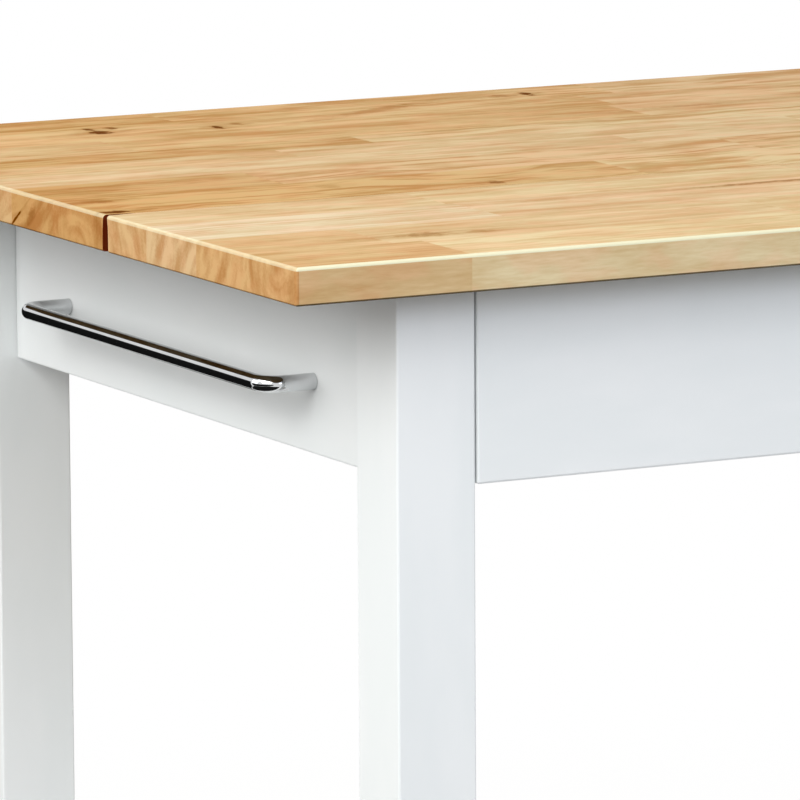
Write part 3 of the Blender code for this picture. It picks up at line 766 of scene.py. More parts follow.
@dataclass(frozen=True)
class ZincSteel:
    """Zinc-plated steel with a fine spangle."""

    slot: str = "zinc_steel"
    bright: Colour = (0.62, 0.63, 0.65)
    dull: Colour = (0.48, 0.49, 0.51)
    spangle_scale: float = 420.0
    spangle_weight: float = 0.4
    cloud: Layer = Layer(40.0, 40.0, 3.0)
    cloud_weight: float = 0.6
    pitting: Layer = Layer(900.0, 900.0, 1.0)
    rough: float = 0.26
    cloud_rough: float = 0.16
    spangle_rough: float = 0.06
    relief: float = 0.00002
    relief_share: float = 0.5

    def material(self) -> bpy.types.Material:
        """The finish as a material.

        Returns:
            The material.
        """
        graph = Graph.of_material(self.slot)
        place = graph.place()
        cells = {"Vector": place, "Scale": self.spangle_scale}
        spangle, _, _ = graph.parts(graph.add("TexVoronoi", inputs=cells, output="Color"))
        cloud = self.cloud.on(place)
        bright = spangle * self.spangle_weight + cloud * self.cloud_weight
        colour = graph.mixed(bright, self.dull, self.bright)
        rough = self.rough + cloud * self.cloud_rough + spangle * self.spangle_rough
        normal = graph.bump(self.pitting.on(place), self.relief, self.relief_share)
        varying = {"Base Color": colour, "Roughness": rough, "Normal": normal}
        return graph.surface({"Metallic": 1.0}, varying)


@dataclass(frozen=True)
class GreyNylon:
    """Moulded grey nylon with a fine matt grain."""

    slot: str = "grey_nylon"
    light: Colour = srgb(158, 160, 162)
    shade: Colour = srgb(138, 140, 142)
    cloud: Layer = Layer(120.0, 120.0, 3.0)
    cloud_span: Span = (0.35, 0.65)
    grain: Layer = Layer(1400.0, 1400.0, 1.0)
    rough: float = 0.48
    grain_rough: float = 0.16
    shine: float = 0.4
    relief: float = 0.00006
    relief_share: float = 0.6

    def material(self) -> bpy.types.Material:
        """The finish as a material.

        Returns:
            The material.
        """
        graph = Graph.of_material(self.slot)
        place = graph.place()
        grain = self.grain.on(place)
        colour = graph.mixed(self.cloud.on(place).rise(*self.cloud_span), self.light, self.shade)
        rough = self.rough + grain * self.grain_rough
        normal = graph.bump(grain, self.relief, self.relief_share)
        varying = {"Base Color": colour, "Roughness": rough, "Normal": normal}
        return graph.surface({"Specular IOR Level": self.shine}, varying)


@dataclass
class Bench:
    """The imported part, and the pieces that are set on it."""

    nodes: dict[str, bpy.types.Object]
    fold_steps: int = 2

    def dress(self, material: bpy.types.Material, *names: str) -> None:
        """Give CAD nodes that stay their finish.

        Args:
            material: The finish.
            names: The nodes.
        """
        for name in names:
            for slot in self.nodes[name].material_slots:
                slot.material = material
            LOG.info("dressed %s in %s", name, material.name)

    def soften(self, width: float, *names: str) -> None:
        """Round the folded edges of CAD nodes that stay.

        Args:
            width: How wide the rounding is.
            names: The nodes.
        """
        for name in names:
            rounding = self.nodes[name].modifiers.new("folded_edges", "BEVEL")
            rounding.width = width
            rounding.segments = self.fold_steps

    def set_piece(
        self,
        name: str,
        mesh: bpy.types.Mesh,
        finish_slot: str,
        body: str,
        replaced: Iterable[str] = (),
    ) -> bpy.types.Object:
        """Put a made piece on its body.

        Args:
            name: The piece's name.
            mesh: Its mesh, in the part's frame, with its material on it.
            finish_slot: The record's material slot; not used.
            body: The body that it moves with.
            replaced: The CAD nodes that it stands for.

        Returns:
            The piece.
        """
        piece = bpy.data.objects.new(name, mesh)
        bpy.context.scene.collection.objects.link(piece)
        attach(piece, body)
        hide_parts(*replaced)
        LOG.info("set %s on %s, %d faces", name, body, len(mesh.polygons))
        return piece


def mesh_of(
    name: str,
    shape: bmesh.types.BMesh,
    material: bpy.types.Material,
    sharp: float = 40.0,
) -> bpy.types.Mesh:
    """Close a shape into a smoothly shaded mesh.

    Args:
        name: The mesh's name.
        shape: The shape, which is freed.
        material: Its finish.
        sharp: Edges that turn by more than this, in degrees, stay sharp.

    Returns:
        The mesh.
    """
    bmesh.ops.recalc_face_normals(shape, faces=shape.faces)
    mesh = bpy.data.meshes.new(name)
    shape.to_mesh(mesh)
    shape.free()
    mesh.materials.append(material)
    mesh.shade_smooth()
    mesh.set_sharp_from_angle(angle=math.radians(sharp))
    return mesh


def slice_faces(
    shape: bmesh.types.BMesh,
    faces: Iterable[bmesh.types.BMFace],
    point: Point,
    normal: Point,
) -> None:
    """Cut some of a shape's faces along a plane.

    Args:
        shape: The shape.
        faces: The faces to cut.
        point: A point of the plane.
        normal: The plane's direction.
    """
    faces = list(faces)
    edges = {edge for face in faces for edge in face.edges}
    verts = {vertex for face in faces for vertex in face.verts}
    geom = [*faces, *edges, *verts]
    bmesh.ops.bisect_plane(shape, geom=geom, dist=CUT_REACH, plane_co=point, plane_no=normal)


Ring = list[bmesh.types.BMVert]


def skin(shape: bmesh.types.BMesh, rings: Sequence[Ring], close_start: bool = True) -> None:
    """Cover a row of rings, and close its ends.

    Args:
        shape: The shape that holds the rings.
        rings: The rings, all with the same count of vertices.
        close_start: Whether the first ring gets a face.
    """
    for ring, following in zip(rings, rings[1:]):
        for side in range(len(ring)):
            after = (side + 1) % len(ring)
            shape.faces.new((ring[side], ring[after], following[after], following[side]))
    if close_start:
        shape.faces.new(rings[0])
    shape.faces.new(rings[-1])


def round_angles(sides: int) -> list[float]:
    """The angles of so many points that go once round."""
    return [2 * math.pi * side / sides for side in range(sides)]


def turned_rings(shape: bmesh.types.BMesh, profile: Iterable[Span], sides: int) -> list[Ring]:
    """Turn a profile's points round the Z axis.

    Args:
        shape: The shape that takes the rings.
        profile: Radius and height of each point.
        sides: How many vertices go round.

    Returns:
        One ring for each point.
    """
    turns = [(math.cos(angle), math.sin(angle)) for angle in round_angles(sides)]
    return [[shape.verts.new((r * cos, r * sin, h)) for cos, sin in turns] for r, h in profile]


@dataclass(frozen=True)
class Stave:
    """One stave: where it starts and ends along X, and its tones there."""

    start: float
    end: float
    start_tone: Colour
    end_tone: Colour

    def tone_at(self, x: float) -> Colour:
        """The stave's tone at a place along it."""
        return blended(self.start_tone, self.end_tone, (x - self.start) / (self.end - self.start))


@dataclass(frozen=True)
class StaveRow:
    """A row of staves laid end to end.

    It holds its edges across the top, where its first staves end, their tones, how far its heart lies from
    its middle across and up, how strong its figure is, how far the tones of staves that meet lean to each
    other, and the slack with which a face belongs to the row.
    """

    front: float
    rear: float
    ends: tuple[float, ...]
    tones: tuple[Tone, ...]
    heart: Span
    figure: float
    lean: float = 0.3
    slack: float = 1e-6

    def holds(self, y: float) -> bool:
        """True for the places across the top that belong to the row."""
        return self.front - self.slack < y < self.rear + self.slack

    def staves(self, half_length: float) -> list[Stave]:
        """The row's staves from left to right.

        Args:
            half_length: Half the worktop's length.

        Returns:
            The staves.
        """
        marks = (-half_length, *self.ends, half_length)
        tones = [tone.value for tone in self.tones]
        before = [tones[0], *tones[:-1]]
        after = [*tones[1:], tones[-1]]
        starts = [blended(own, other, self.lean) for own, other in zip(tones, before)]
        stops = [blended(own, other, self.lean) for own, other in zip(tones, after)]
        return [Stave(*parts) for parts in zip(marks, marks[1:], starts, stops)]


@dataclass
class Worktop:
    """Two boards of jointed staves with rounded edges; the joint between them gapes at the left end."""

    bench: Bench
    finish: ButcherBlock
    edge_round: float = 0.0024
    edge_steps: int = 4
    under_ease: float = 0.0014
    under_steps: int = 2
    under_from: float = -0.2
    # painted shade: faces turned downwards, the underside and its lower arris, are darkened to this share of
    # their tone
    under_shade: float = 0.25
    facing: float = 0.5
    sharp: float = 50.0
    edge_figure: float = 0.8
    # strength of the painted highlight on the rounded edges along the staves
    side_highlight: float = 0.95
    # painted light: a cool, lighter tint on the faces that look to the front or rear
    edge_painted_cool_light: Colour = (1.02, 1.06, 1.12)
    corner_from: float = 0.15
    # painted shade: a darker, warmer tone on the upright rounded corners
    corner_painted_shade: Colour = (0.82, 0.67, 0.53)
    round_span: Span = (0.1, 0.99)
    # strength of the painted highlight on the rounded edges at the ends
    end_highlight: float = 0.42
    slit_depth: float = 0.024
    slit_mouth: float = 0.0088
    slit_top_share: float = 0.6
    slit_steps: int = 6
    slit_taper: float = 0.8
    # dark raw wood with painted shade for the inside of the gaping joint
    slit_raw_wood_and_shade: Colour = srgb(104, 40, 16)
    joint_gap: float = 0.0003
    joint_reach: float = 0.000075
    heart_scatter: float = 0.3
    number_range: float = 10.0
    seed: int = 7
    rows: tuple[StaveRow, ...] = (
        StaveRow(
            -0.400, -0.327, (-0.368, -0.020, 0.310),
            (Tone.HONEY, Tone.PALE, Tone.WHEAT, Tone.TAN), (-0.017, 0.012), 1.3, lean=0.0,
        ),
        StaveRow(
            -0.327, -0.250, (-0.390, -0.075, 0.225),
            (Tone.HONEY, Tone.WHEAT, Tone.PALE, Tone.ROSE), (0.10, 0.03), 1.2,
        ),
        StaveRow(
            -0.250, -0.172, (-0.262, 0.130),
            (Tone.CREAM, Tone.ROSE, Tone.WHEAT), (-0.15, -0.05), 1.2,
        ),
        StaveRow(
            -0.172, -0.106, (-0.267, 0.040, 0.335),
            (Tone.WHEAT, Tone.PALE, Tone.WHEAT, Tone.PALE), (-0.12, 0.05), 1.3,
        ),
        StaveRow(
            -0.106, -0.020, (-0.065, 0.290),
            (Tone.AMBER, Tone.PALE, Tone.WHEAT), (0.004, -0.012), 3.2,
        ),
        StaveRow(
            -0.020, 0.050, (-0.318, 0.078, 0.380),
            (Tone.UMBER, Tone.ROSE, Tone.HONEY, Tone.PALE), (0.09, 0.12), 2.8,
        ),
        StaveRow(
            0.050, 0.104, (0.020, 0.330),
            (Tone.WHEAT, Tone.WHEAT, Tone.ROSE), (-0.10, -0.14), 1.6,
        ),
        StaveRow(
            0.104, 0.150, (-0.240, 0.190),
            (Tone.HONEY, Tone.WHEAT, Tone.PALE), (0.05, -0.04), 1.8,
        ),
        StaveRow(
            0.150, 0.194, (-0.155, 0.240),
            (Tone.BROWN, Tone.PALE, Tone.WHEAT), (-0.04, -0.08), 2.7,
        ),
        StaveRow(
            0.194, 0.262, (-0.330, 0.105, 0.360),
            (Tone.HONEY, Tone.TAN, Tone.ROSE, Tone.HONEY), (0.02, 0.05), 1.7,
        ),
        StaveRow(
            0.262, 0.330, (0.116, 0.410),
            (Tone.TAN, Tone.ROSE, Tone.TAN), (-0.03, -0.04), 2.0,
        ),
        StaveRow(
            0.330, 0.400, (-0.230, 0.150),
            (Tone.AMBER, Tone.TAN, Tone.ROSE), (0.03, -0.06), 2.8,
        ),
    )
    half_length: float = field(init=False)

    def build(self) -> None:
        """Make both boards and set them in place of their CAD nodes."""
        low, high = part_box("top_front_panel")
        rear_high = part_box("top_rear_panel")[1]
        self.half_length = high.x
        draw = random.Random(self.seed)
        level = (low.z + high.z) / 2
        placed = [(row, stave) for row in self.rows for stave in row.staves(self.half_length)]
        hearts = {stave: self.heart(row, level, draw) for row, stave in placed}
        material = self.finish.material()
        rear_low = Vector((low.x, high.y + self.joint_gap, low.z))
        boards = (("front", low, high, high.y), ("rear", rear_low, rear_high, rear_low.y))
        for end, board_low, board_high, joint_y in boards:
            shape = self.board(board_low, board_high, joint_y)
            mesh = mesh_of(f"top_{end}_staves", shape, material, self.sharp)
            self.mark_staves(mesh, hearts, joint_y)
            panel = f"top_{end}_panel"
            piece = self.bench.set_piece(mesh.name, mesh, self.finish.slot, "frame", [panel])
            piece.modifiers.new("even_shading", "WEIGHTED_NORMAL").keep_sharp = True

    def heart(self, row: StaveRow, level: float, draw: random.Random) -> Point:
        """Where a stave's heart lies, near its row's own.

        Args:
            row: The stave's row.
            level: The height of the worktop's middle.
            draw: The source of chance.

        Returns:
            The heart's Y and Z, and a number of the stave's own.
        """
        across, up = (part * (1 + draw.uniform(-1, 1) * self.heart_scatter) for part in row.heart)
        return (row.front + row.rear) / 2 + across, level + up, draw.uniform(0, self.number_range)

    def board(self, low: Vector, high: Vector, joint_y: float) -> bmesh.types.BMesh:
        """One board: rounded, scored into its staves, and gaping at the joint's left end.

        Args:
            low: The board's lowest corner.
            high: Its highest corner.
            joint_y: The face on which it meets the other board.

        Returns:
            The board's shape.
        """
        shape = bmesh.new()
        bmesh.ops.create_cube(shape, size=1.0)
        place = Matrix.Translation((low + high) / 2) @ Matrix.Diagonal((*(high - low), 1))
        bmesh.ops.transform(shape, matrix=place, verts=shape.verts)
        free = [edge for edge in shape.edges if not self.on_joint(edge, joint_y)]
        level = low.z + self.under_ease
        upper = [edge for edge in free if any(vertex.co.z > level for vertex in edge.verts)]
        self.round_off(shape, upper, self.edge_round, self.edge_steps)
        lower = [edge for edge in shape.edges if self.under_arris(edge, low.z, joint_y)]
        self.round_off(shape, lower, self.under_ease, self.under_steps)
        self.score(shape)
        self.open_joint(shape, low, high, joint_y)
        return shape

    def on_joint(self, edge: bmesh.types.BMEdge, joint_y: float) -> bool:
        """True for the edges of the joint's own face."""
        return all(abs(vertex.co.y - joint_y) < self.joint_gap for vertex in edge.verts)

    def under_arris(self, edge: bmesh.types.BMEdge, level: float, joint_y: float) -> bool:
        """True for the lower edges of a board's outer faces.

        Args:
            edge: The edge.
            level: The height of the underside.
            joint_y: The joint's face, whose own edges stay sharp.

        Returns:
            Whether the edge gets the lower easing.
        """
        under = all(vertex.co.z < level + self.under_ease for vertex in edge.verts)
        outer = any(abs(face.normal.z) < self.facing for face in edge.link_faces)
        return under and outer and not self.on_joint(edge, joint_y)

    @staticmethod
    def round_off(
        shape: bmesh.types.BMesh,
        edges: list[bmesh.types.BMEdge],
        width: float,
        steps: int,
    ) -> None:
        """Round some edges of a shape."""
        bmesh.ops.bevel(shape, geom=edges, offset=width, segments=steps, profile=0.5, affect="EDGES")

    def score(self, shape: bmesh.types.BMesh) -> None:
        """Cut a board's faces along the staves' edges.

        Args:
            shape: The board's shape.
        """
        for row in self.rows:
            slice_faces(shape, shape.faces, (0, row.rear, 0), (0, 1, 0))
        for row in self.rows:
            for stave in row.staves(self.half_length)[:-1]:
                faces = [f for f in shape.faces if row.holds(f.calc_center_bounds().y)]
                slice_faces(shape, faces, (stave.end, 0, 0), (1, 0, 0))

    def joint_faces(self, shape: bmesh.types.BMesh, joint_y: float) -> list[bmesh.types.BMFace]:
        """The faces of the joint's flat side."""
        return [f for f in shape.faces if abs(f.calc_center_median().y - joint_y) < self.joint_reach]

    def open_joint(self, shape: bmesh.types.BMesh, low: Vector, high: Vector, joint_y: float) -> None:
        """Draw the joint's face back at the left end, the most at its lower edge.

        Args:
            shape: The board's shape.
            low: The board's lowest corner.
            high: Its highest corner.
            joint_y: The face on which it meets the other board.
        """
        slit_end = low.x + self.slit_depth
        for step in range(1, self.slit_steps + 1):
            cut = low.x + self.slit_depth * step / self.slit_steps
            slice_faces(shape, self.joint_faces(shape, joint_y), (cut, 0, 0), (1, 0, 0))
        for step in range(1, self.slit_steps):
            near = [f for f in self.joint_faces(shape, joint_y) if f.calc_center_median().x < slit_end]
            level = low.z + (high.z - low.z) * step / self.slit_steps
            slice_faces(shape, near, (0, 0, level), (0, 0, 1))
        away = -1 if joint_y == high.y else 1
        for vertex in shape.verts:
            if abs(vertex.co.y - joint_y) > self.joint_reach:
                continue
            inward = max(0.0, 1 - (vertex.co.x - low.x) / self.slit_depth)
            share = (vertex.co.z - low.z) / (high.z - low.z)
            lens = self.slit_top_share + (1 - self.slit_top_share) * math.cos(math.pi / 2 * share**2)
            vertex.co.y += away * self.slit_mouth / 2 * inward**self.slit_taper * lens

    def painted_highlight(self, normal: Vector) -> float:
        """How strong the painted highlight on a face is: the rounded edges, and those along the grain the
        most.

        Args:
            normal: The face's direction.

        Returns:
            0 on flat faces, up to 1.
        """
        upright, flat = self.round_span
        if not upright < normal.z < flat:
            return 0.0
        return self.side_highlight if abs(normal.y) > abs(normal.x) else self.end_highlight

    def tint(self, normal: Vector) -> Colour:
        """How a face's direction changes its stave's tone: painted shade darkens the upright corners and the
        underside, and a painted cool light falls on the faces to the front and rear.

        Args:
            normal: The face's direction.

        Returns:
            A factor for each part of the colour.
        """
        x, y, z = (abs(part) for part in normal)
        # painted shade on the upright corners
        if min(x, y) > self.corner_from and z < self.round_span[0]:
            return self.corner_painted_shade
        # painted shade on the faces turned downwards
        shade = self.under_shade if normal.z < self.under_from else 1.0
        # painted cool light on the faces to the front and rear
        edge = self.edge_painted_cool_light if y > self.facing else (1.0, 1.0, 1.0)
        return tuple(part * shade for part in edge)

    def mark_staves(self, mesh: bpy.types.Mesh, hearts: dict[Stave, Point], joint_y: float) -> None:
        """Write the tone, heart, figure and painted highlight on each face for the finish to read.

        Args:
            mesh: The board's mesh.
            hearts: Each stave's heart.
            joint_y: The face on which the board meets the other one.
        """
        tones, middles, figures, highlights = [], [], [], []
        for face in mesh.polygons:
            row = next((r for r in self.rows if face.center.y < r.rear), self.rows[-1])
            staves = row.staves(self.half_length)
            stave = next((s for s in staves if face.center.x < s.end), staves[-1])
            on_edge = abs(face.normal.y) > self.facing
            in_joint = on_edge and abs(face.center.y - joint_y) < self.slit_mouth
            tint = self.tint(face.normal)
            for corner in face.vertices:
                wood = stave.tone_at(mesh.vertices[corner].co.x)
                tone = [part * hue for part, hue in zip(wood, tint)]
                # inside the gaping joint: dark raw wood with painted shade
                tones += self.slit_raw_wood_and_shade if in_joint else tone
            middles += hearts[stave]
            plain = self.edge_figure if on_edge else 1.0
            figures.append(0.0 if in_joint else row.figure * plain)
            # painted highlight strength of each face
            highlights.append(self.painted_highlight(face.normal))
        marks = (
            ("stave_tone", "FLOAT_VECTOR", "CORNER", "vector", tones),
            ("stave_heart", "FLOAT_VECTOR", "FACE", "vector", middles),
            ("stave_figure", "FLOAT", "FACE", "value", figures),
            ("stave_painted_highlight", "FLOAT", "FACE", "value", highlights),
        )
        for name, kind, domain, key, values in marks:
            mesh.attributes.new(name, kind, domain).data.foreach_set(key, values)


@dataclass
class Bow:
    """A round bar bent into a bow: two feet, two bends and a straight bar between them."""

    node: str
    body: str
    along: Vector
    outward: Vector
    bend: float = 0.013
    bend_steps: int = 14
    sides: int = 48

    def radius(self) -> float:
        """Half the bar's thickness."""
        low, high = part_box(self.node)
        return abs((high - low).dot(self.along.cross(self.outward))) / 2

    def route(self) -> list[Vector]:
        """Points along the bar's middle line.

        Returns:
            The points, from one foot to the other.
        """
        low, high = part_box(self.node)
        radius = self.radius()
        depth = abs((high - low).dot(self.outward))
        half = abs((high - low).dot(self.along)) / 2 - radius
        reach = depth - radius
        foot = (low + high) / 2 - self.outward * (depth / 2)
        points = [(-half, 0.0)]
        for corner, first in ((-half + self.bend, math.pi), (half - self.bend, math.pi / 2)):
            for step in range(self.bend_steps + 1):
                angle = first - math.pi / 2 * step / self.bend_steps
                along = corner + self.bend * math.cos(angle)
                points.append((along, reach - self.bend + self.bend * math.sin(angle)))
        points.append((half, 0.0))
        return [foot + self.along * a + self.outward * o for a, o in points]

    def build(self, bench: Bench, finish: Chrome, material: bpy.types.Material) -> None:
        """Sweep the bar and set it in place of its CAD node.

        Args:
            bench: Where the piece goes.
            finish: The finish, whose slot name goes to the bench.
            material: The finish's material.
        """
        route = self.route()
        shape = bmesh.new()
        level = self.along.cross(self.outward)
        angles = round_angles(self.sides)
        rings = []
        for index, point in enumerate(route):
            ahead = route[min(index + 1, len(route) - 1)] - route[max(index - 1, 0)]
            aside = level.cross(ahead.normalized())
            offsets = [aside * math.cos(angle) + level * math.sin(angle) for angle in angles]
            rings.append([shape.verts.new(point + offset * self.radius()) for offset in offsets])
        skin(shape, rings)
        mesh = mesh_of(f"{self.node}_bar", shape, material)
        bench.set_piece(mesh.name, mesh, finish.slot, self.body, [self.node])


@dataclass
class Screw:
    """A cross-head screw with a rounded head and a threaded shank, on the place of its CAD node."""

    node: str
    body: str
    along: Vector
    head_height: float
    tip: float
    pitch: float = 0.0014
    shank: float = 0.002
    thread_depth: float = 0.0004
    flat_share: float = 0.62
    brow: Span = (0.88, 0.14)
    brim: float = 0.45
    thread_start: float = 0.35
    crest: float = 0.5
    point_share: float = 0.2
    arm: float = 0.0019
    arm_width: float = 0.0004
    cross_depth: float = 0.0014
    cross_taper: float = 0.6
    sides: int = 24
    sharp: float = 35.0

    def build(self, bench: Bench, finish: ZincSteel, material: bpy.types.Material) -> None:
        """Turn the screw, cut its cross, and set it in place of its CAD node.

        Args:
            bench: Where the piece goes.
            finish: The finish, whose slot name goes to the bench.
            material: The finish's material.
        """
        low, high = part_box(self.node)
        size = high - low
        length = abs(size.dot(self.along))
        head = max(abs(size.dot(side)) for side in (self.along.yzx, self.along.zxy)) / 2
        shape = bmesh.new()
        rings = turned_rings(shape, self.profile(head, length), self.sides)
        skin(shape, rings, close_start=False)
        self.cross(shape, rings[0])
        turn = self.along.to_track_quat("Z", "Y").to_matrix().to_4x4()
        start = (low + high) / 2 - self.along * (length / 2)
        bmesh.ops.transform(shape, matrix=Matrix.Translation(start) @ turn, verts=shape.verts)
        mesh = mesh_of(f"{self.node}_turned", shape, material, self.sharp)
        bench.set_piece(mesh.name, mesh, finish.slot, self.body, [self.node])

    def profile(self, head: float, length: float) -> list[Span]:
        """The screw's outline, from its head to its tip.

        Args:
            head: The head's radius.
            length: The whole length.

        Returns:
            Radius and height of each point.
        """
        brow_radius, brow_height = self.brow
        points = [(head * self.flat_share, 0.0), (head * brow_radius, self.head_height * brow_height)]
        points += [(head, self.head_height * self.brim), (head, self.head_height)]
        points.append((self.shank, self.head_height))
        root = self.shank - self.thread_depth
        end = length - self.tip
        count = int((end - self.head_height) / self.pitch)
        for turn in range(count):
            start = self.head_height + self.pitch * (turn + self.thread_start)
            points += [(root, start), (self.shank, start + self.pitch * self.crest)]
        return [*points, (root, end), (root * self.point_share, length)]

    def cross(self, shape: bmesh.types.BMesh, rim: Ring) -> None:
        """Close the head with a face that has a cross sunk into it.

        Args:
            shape: The screw's shape.
            rim: The edge of the head's flat.
        """
        side = self.arm_width
        corner = ((self.arm, -side), (self.arm, side), (side, side))
        turns = [Matrix.Rotation(math.pi / 2 * quarter, 3, "Z") for quarter in range(4)]
        outline = [turn @ Vector((*point, 0.0)) for turn in turns for point in corner]
        mouth = [shape.verts.new(point) for point in outline]
        sunk = Vector((0, 0, self.cross_depth))
        floor = [shape.verts.new(point * self.cross_taper + sunk) for point in outline]
        edges = [shape.edges.get((a, b)) for a, b in zip(rim, [*rim[1:], rim[0]])]
        edges += [shape.edges.new((a, b)) for a, b in zip(mouth, [*mouth[1:], mouth[0]])]
        bmesh.ops.triangle_fill(shape, use_beauty=True, edges=edges)
        skin(shape, [mouth, floor], close_start=False)


@dataclass
class Frame:
    """The painted frame: legs, aprons and flat rails."""

    bench: Bench
    paint: dict[Axis, bpy.types.Material]

    def build(self) -> None:
        """Dress the frame's boards, each along its own grain."""
        legs = [f"leg_{end}_{side}" for side in SIDES for end in ENDS]
        self.bench.dress(self.paint[Axis.Z], *legs)
        self.bench.dress(self.paint[Axis.Y], *[f"end_apron_{side}" for side in SIDES], "top_cross_rail")
        self.bench.dress(self.paint[Axis.X], "rear_apron", "front_top_rail")


@dataclass
class Shelf:
    """The slatted shelf: end rails, long rails and slats."""

    bench: Bench
    paint: dict[Axis, bpy.types.Material]
    slats: int = 8

    def build(self) -> None:
        """Dress the rails and the slats."""
        self.bench.dress(self.paint[Axis.X], *[f"shelf_rail_{end}" for end in ENDS])
        self.bench.dress(self.paint[Axis.Y], *[f"shelf_end_rail_{side}" for side in SIDES])
        self.bench.dress(self.paint[Axis.Y], *[f"shelf_slat_{number + 1}" for number in range(self.slats)])


@dataclass
class Feet:
    """Four moulded glides under the legs: a disc with a rounded rim and a dished sole, and its pin."""

    bench: Bench
    finish: GreyNylon
    height: float = 0.005
    rim: float = 0.0015
    rim_steps: int = 4
    dish_share: float = 0.7
    dish_middle: float = 0.2
    dish_depth: float = 0.0006
    pin: float = 0.003
    pin_chamfer: float = 0.001
    sides: int = 40

    def build(self) -> None:
        """Turn the four glides and set them in place of their CAD nodes."""
        material = self.finish.material()
        for node in [f"foot_glide_{end}_{side}" for side in SIDES for end in ENDS]:
            low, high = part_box(node)
            shape = bmesh.new()
            profile = self.profile((high.x - low.x) / 2, high.z - low.z)
            skin(shape, turned_rings(shape, profile, self.sides))
            place = Matrix.Translation(((low.x + high.x) / 2, (low.y + high.y) / 2, low.z))
            bmesh.ops.transform(shape, matrix=place, verts=shape.verts)
            mesh = mesh_of(f"{node}_turned", shape, material)
            self.bench.set_piece(mesh.name, mesh, self.finish.slot, "frame", [node])

    def profile(self, radius: float, total: float) -> list[Span]:
        """A glide's outline, from the middle of its sole to the top of its pin.

        Args:
            radius: The disc's radius.
            total: The height with the pin.

        Returns:
            Radius and height of each point.
        """
        dish = radius * self.dish_share
        points = [(dish * self.dish_middle, self.dish_depth), (dish, self.dish_depth)]
        points.append((dish + self.dish_depth, 0.0))
        for centre, first in ((self.rim, -90), (self.height - self.rim, 0)):
            for step in range(self.rim_steps + 1):
                angle = math.radians(first + 90 * step / self.rim_steps)
                outward = radius - self.rim + self.rim * math.cos(angle)
                points.append((outward, centre + self.rim * math.sin(angle)))
        points += [(self.pin, self.height), (self.pin, total - self.pin_chamfer)]
        return [*points, (self.pin - self.pin_chamfer, total)]


@dataclass
class Drawer:
    """The drawer: a painted front, a birch box and a chrome pull."""

    bench: Bench
    paint: dict[Axis, bpy.types.Material]
    pull: Bow
    chrome: Chrome
    plate: bpy.types.Material
    birch: tuple[Birch, Birch] = (Birch(Axis.X), Birch(Axis.Y))

    def build(self) -> None:
        """Dress the front and the box, and bend the pull."""
        wide, deep = (finish.material() for finish in self.birch)
        self.bench.dress(self.paint[Axis.X], "drawer_front")
        self.bench.dress(wide, "drawer_back", "drawer_bottom")
        self.bench.dress(deep, *[f"drawer_side_{side}" for side in SIDES])
        self.pull.build(self.bench, self.chrome, self.plate)


@dataclass
class Slides:
    """Two telescopic slides of folded steel, and the battens that carry them."""

    bench: Bench
    paint: dict[Axis, bpy.types.Material]
    steel: bpy.types.Material
    fold: float = 0.0003

    def build(self) -> None:
        """Dress the battens and the slides' members, and round the folds."""
        members = [f"slide_{member}_{side}" for side in SIDES for member in ("cabinet", "middle", "drawer")]
        self.bench.dress(self.paint[Axis.Y], *[f"slide_batten_{side}" for side in SIDES])
        self.bench.dress(self.steel, *members)
        self.bench.soften(self.fold, *members)


@dataclass
class Fixings:
    """The worktop's clips, and all the screws."""

    bench: Bench
    finish: ZincSteel
    steel: bpy.types.Material
    clip_fold: float = 0.0002
    bolt_head: float = 0.0028
    bolt_tip: float = 0.0006
    wood_screw_head: float = 0.0025
    wood_screw_tip: float = 0.0045

    def build(self) -> None:
        """Dress the clips, and turn the screws."""
        clips = [f"top_clip_{side}_{end}" for side in SIDES for end in ENDS]
        clips += [f"top_clip_back_{side}" for side in SIDES]
        self.bench.dress(self.steel, *clips)
        self.bench.soften(self.clip_fold, *clips)
        up, left, front = Vector((0, 0, 1)), Vector((-1, 0, 0)), Vector((0, -1, 0))
        wood_screw, bolt = (self.wood_screw_head, self.wood_screw_tip), (self.bolt_head, self.bolt_tip)
        screws = [Screw(f"{clip}_screw", "frame", up, *wood_screw) for clip in clips]
        screws += [Screw(f"towel_rail_screw_{number}", "frame", left, *bolt) for number in (1, 2)]
        screws += [Screw(f"drawer_pull_screw_{number}", "drawer", front, *bolt) for number in (1, 2)]
        for screw in screws:
            screw.build(self.bench, self.finish, self.steel)


@dataclass(frozen=True)
class SoftBox:
    """A lamp: its name, place, the point that it faces, width and height, power in watts, and tint."""

    name: str
    place: Point
    target: Point
    size: Span
    power: float
    tint: Colour = (1.0, 1.0, 1.0)


@dataclass(frozen=True)
class Card:
    """A dark card: its name, middle, and the ways from there to the middle of one side and of its top."""

    name: str
    middle: Point
    aside: Point
    upward: Point


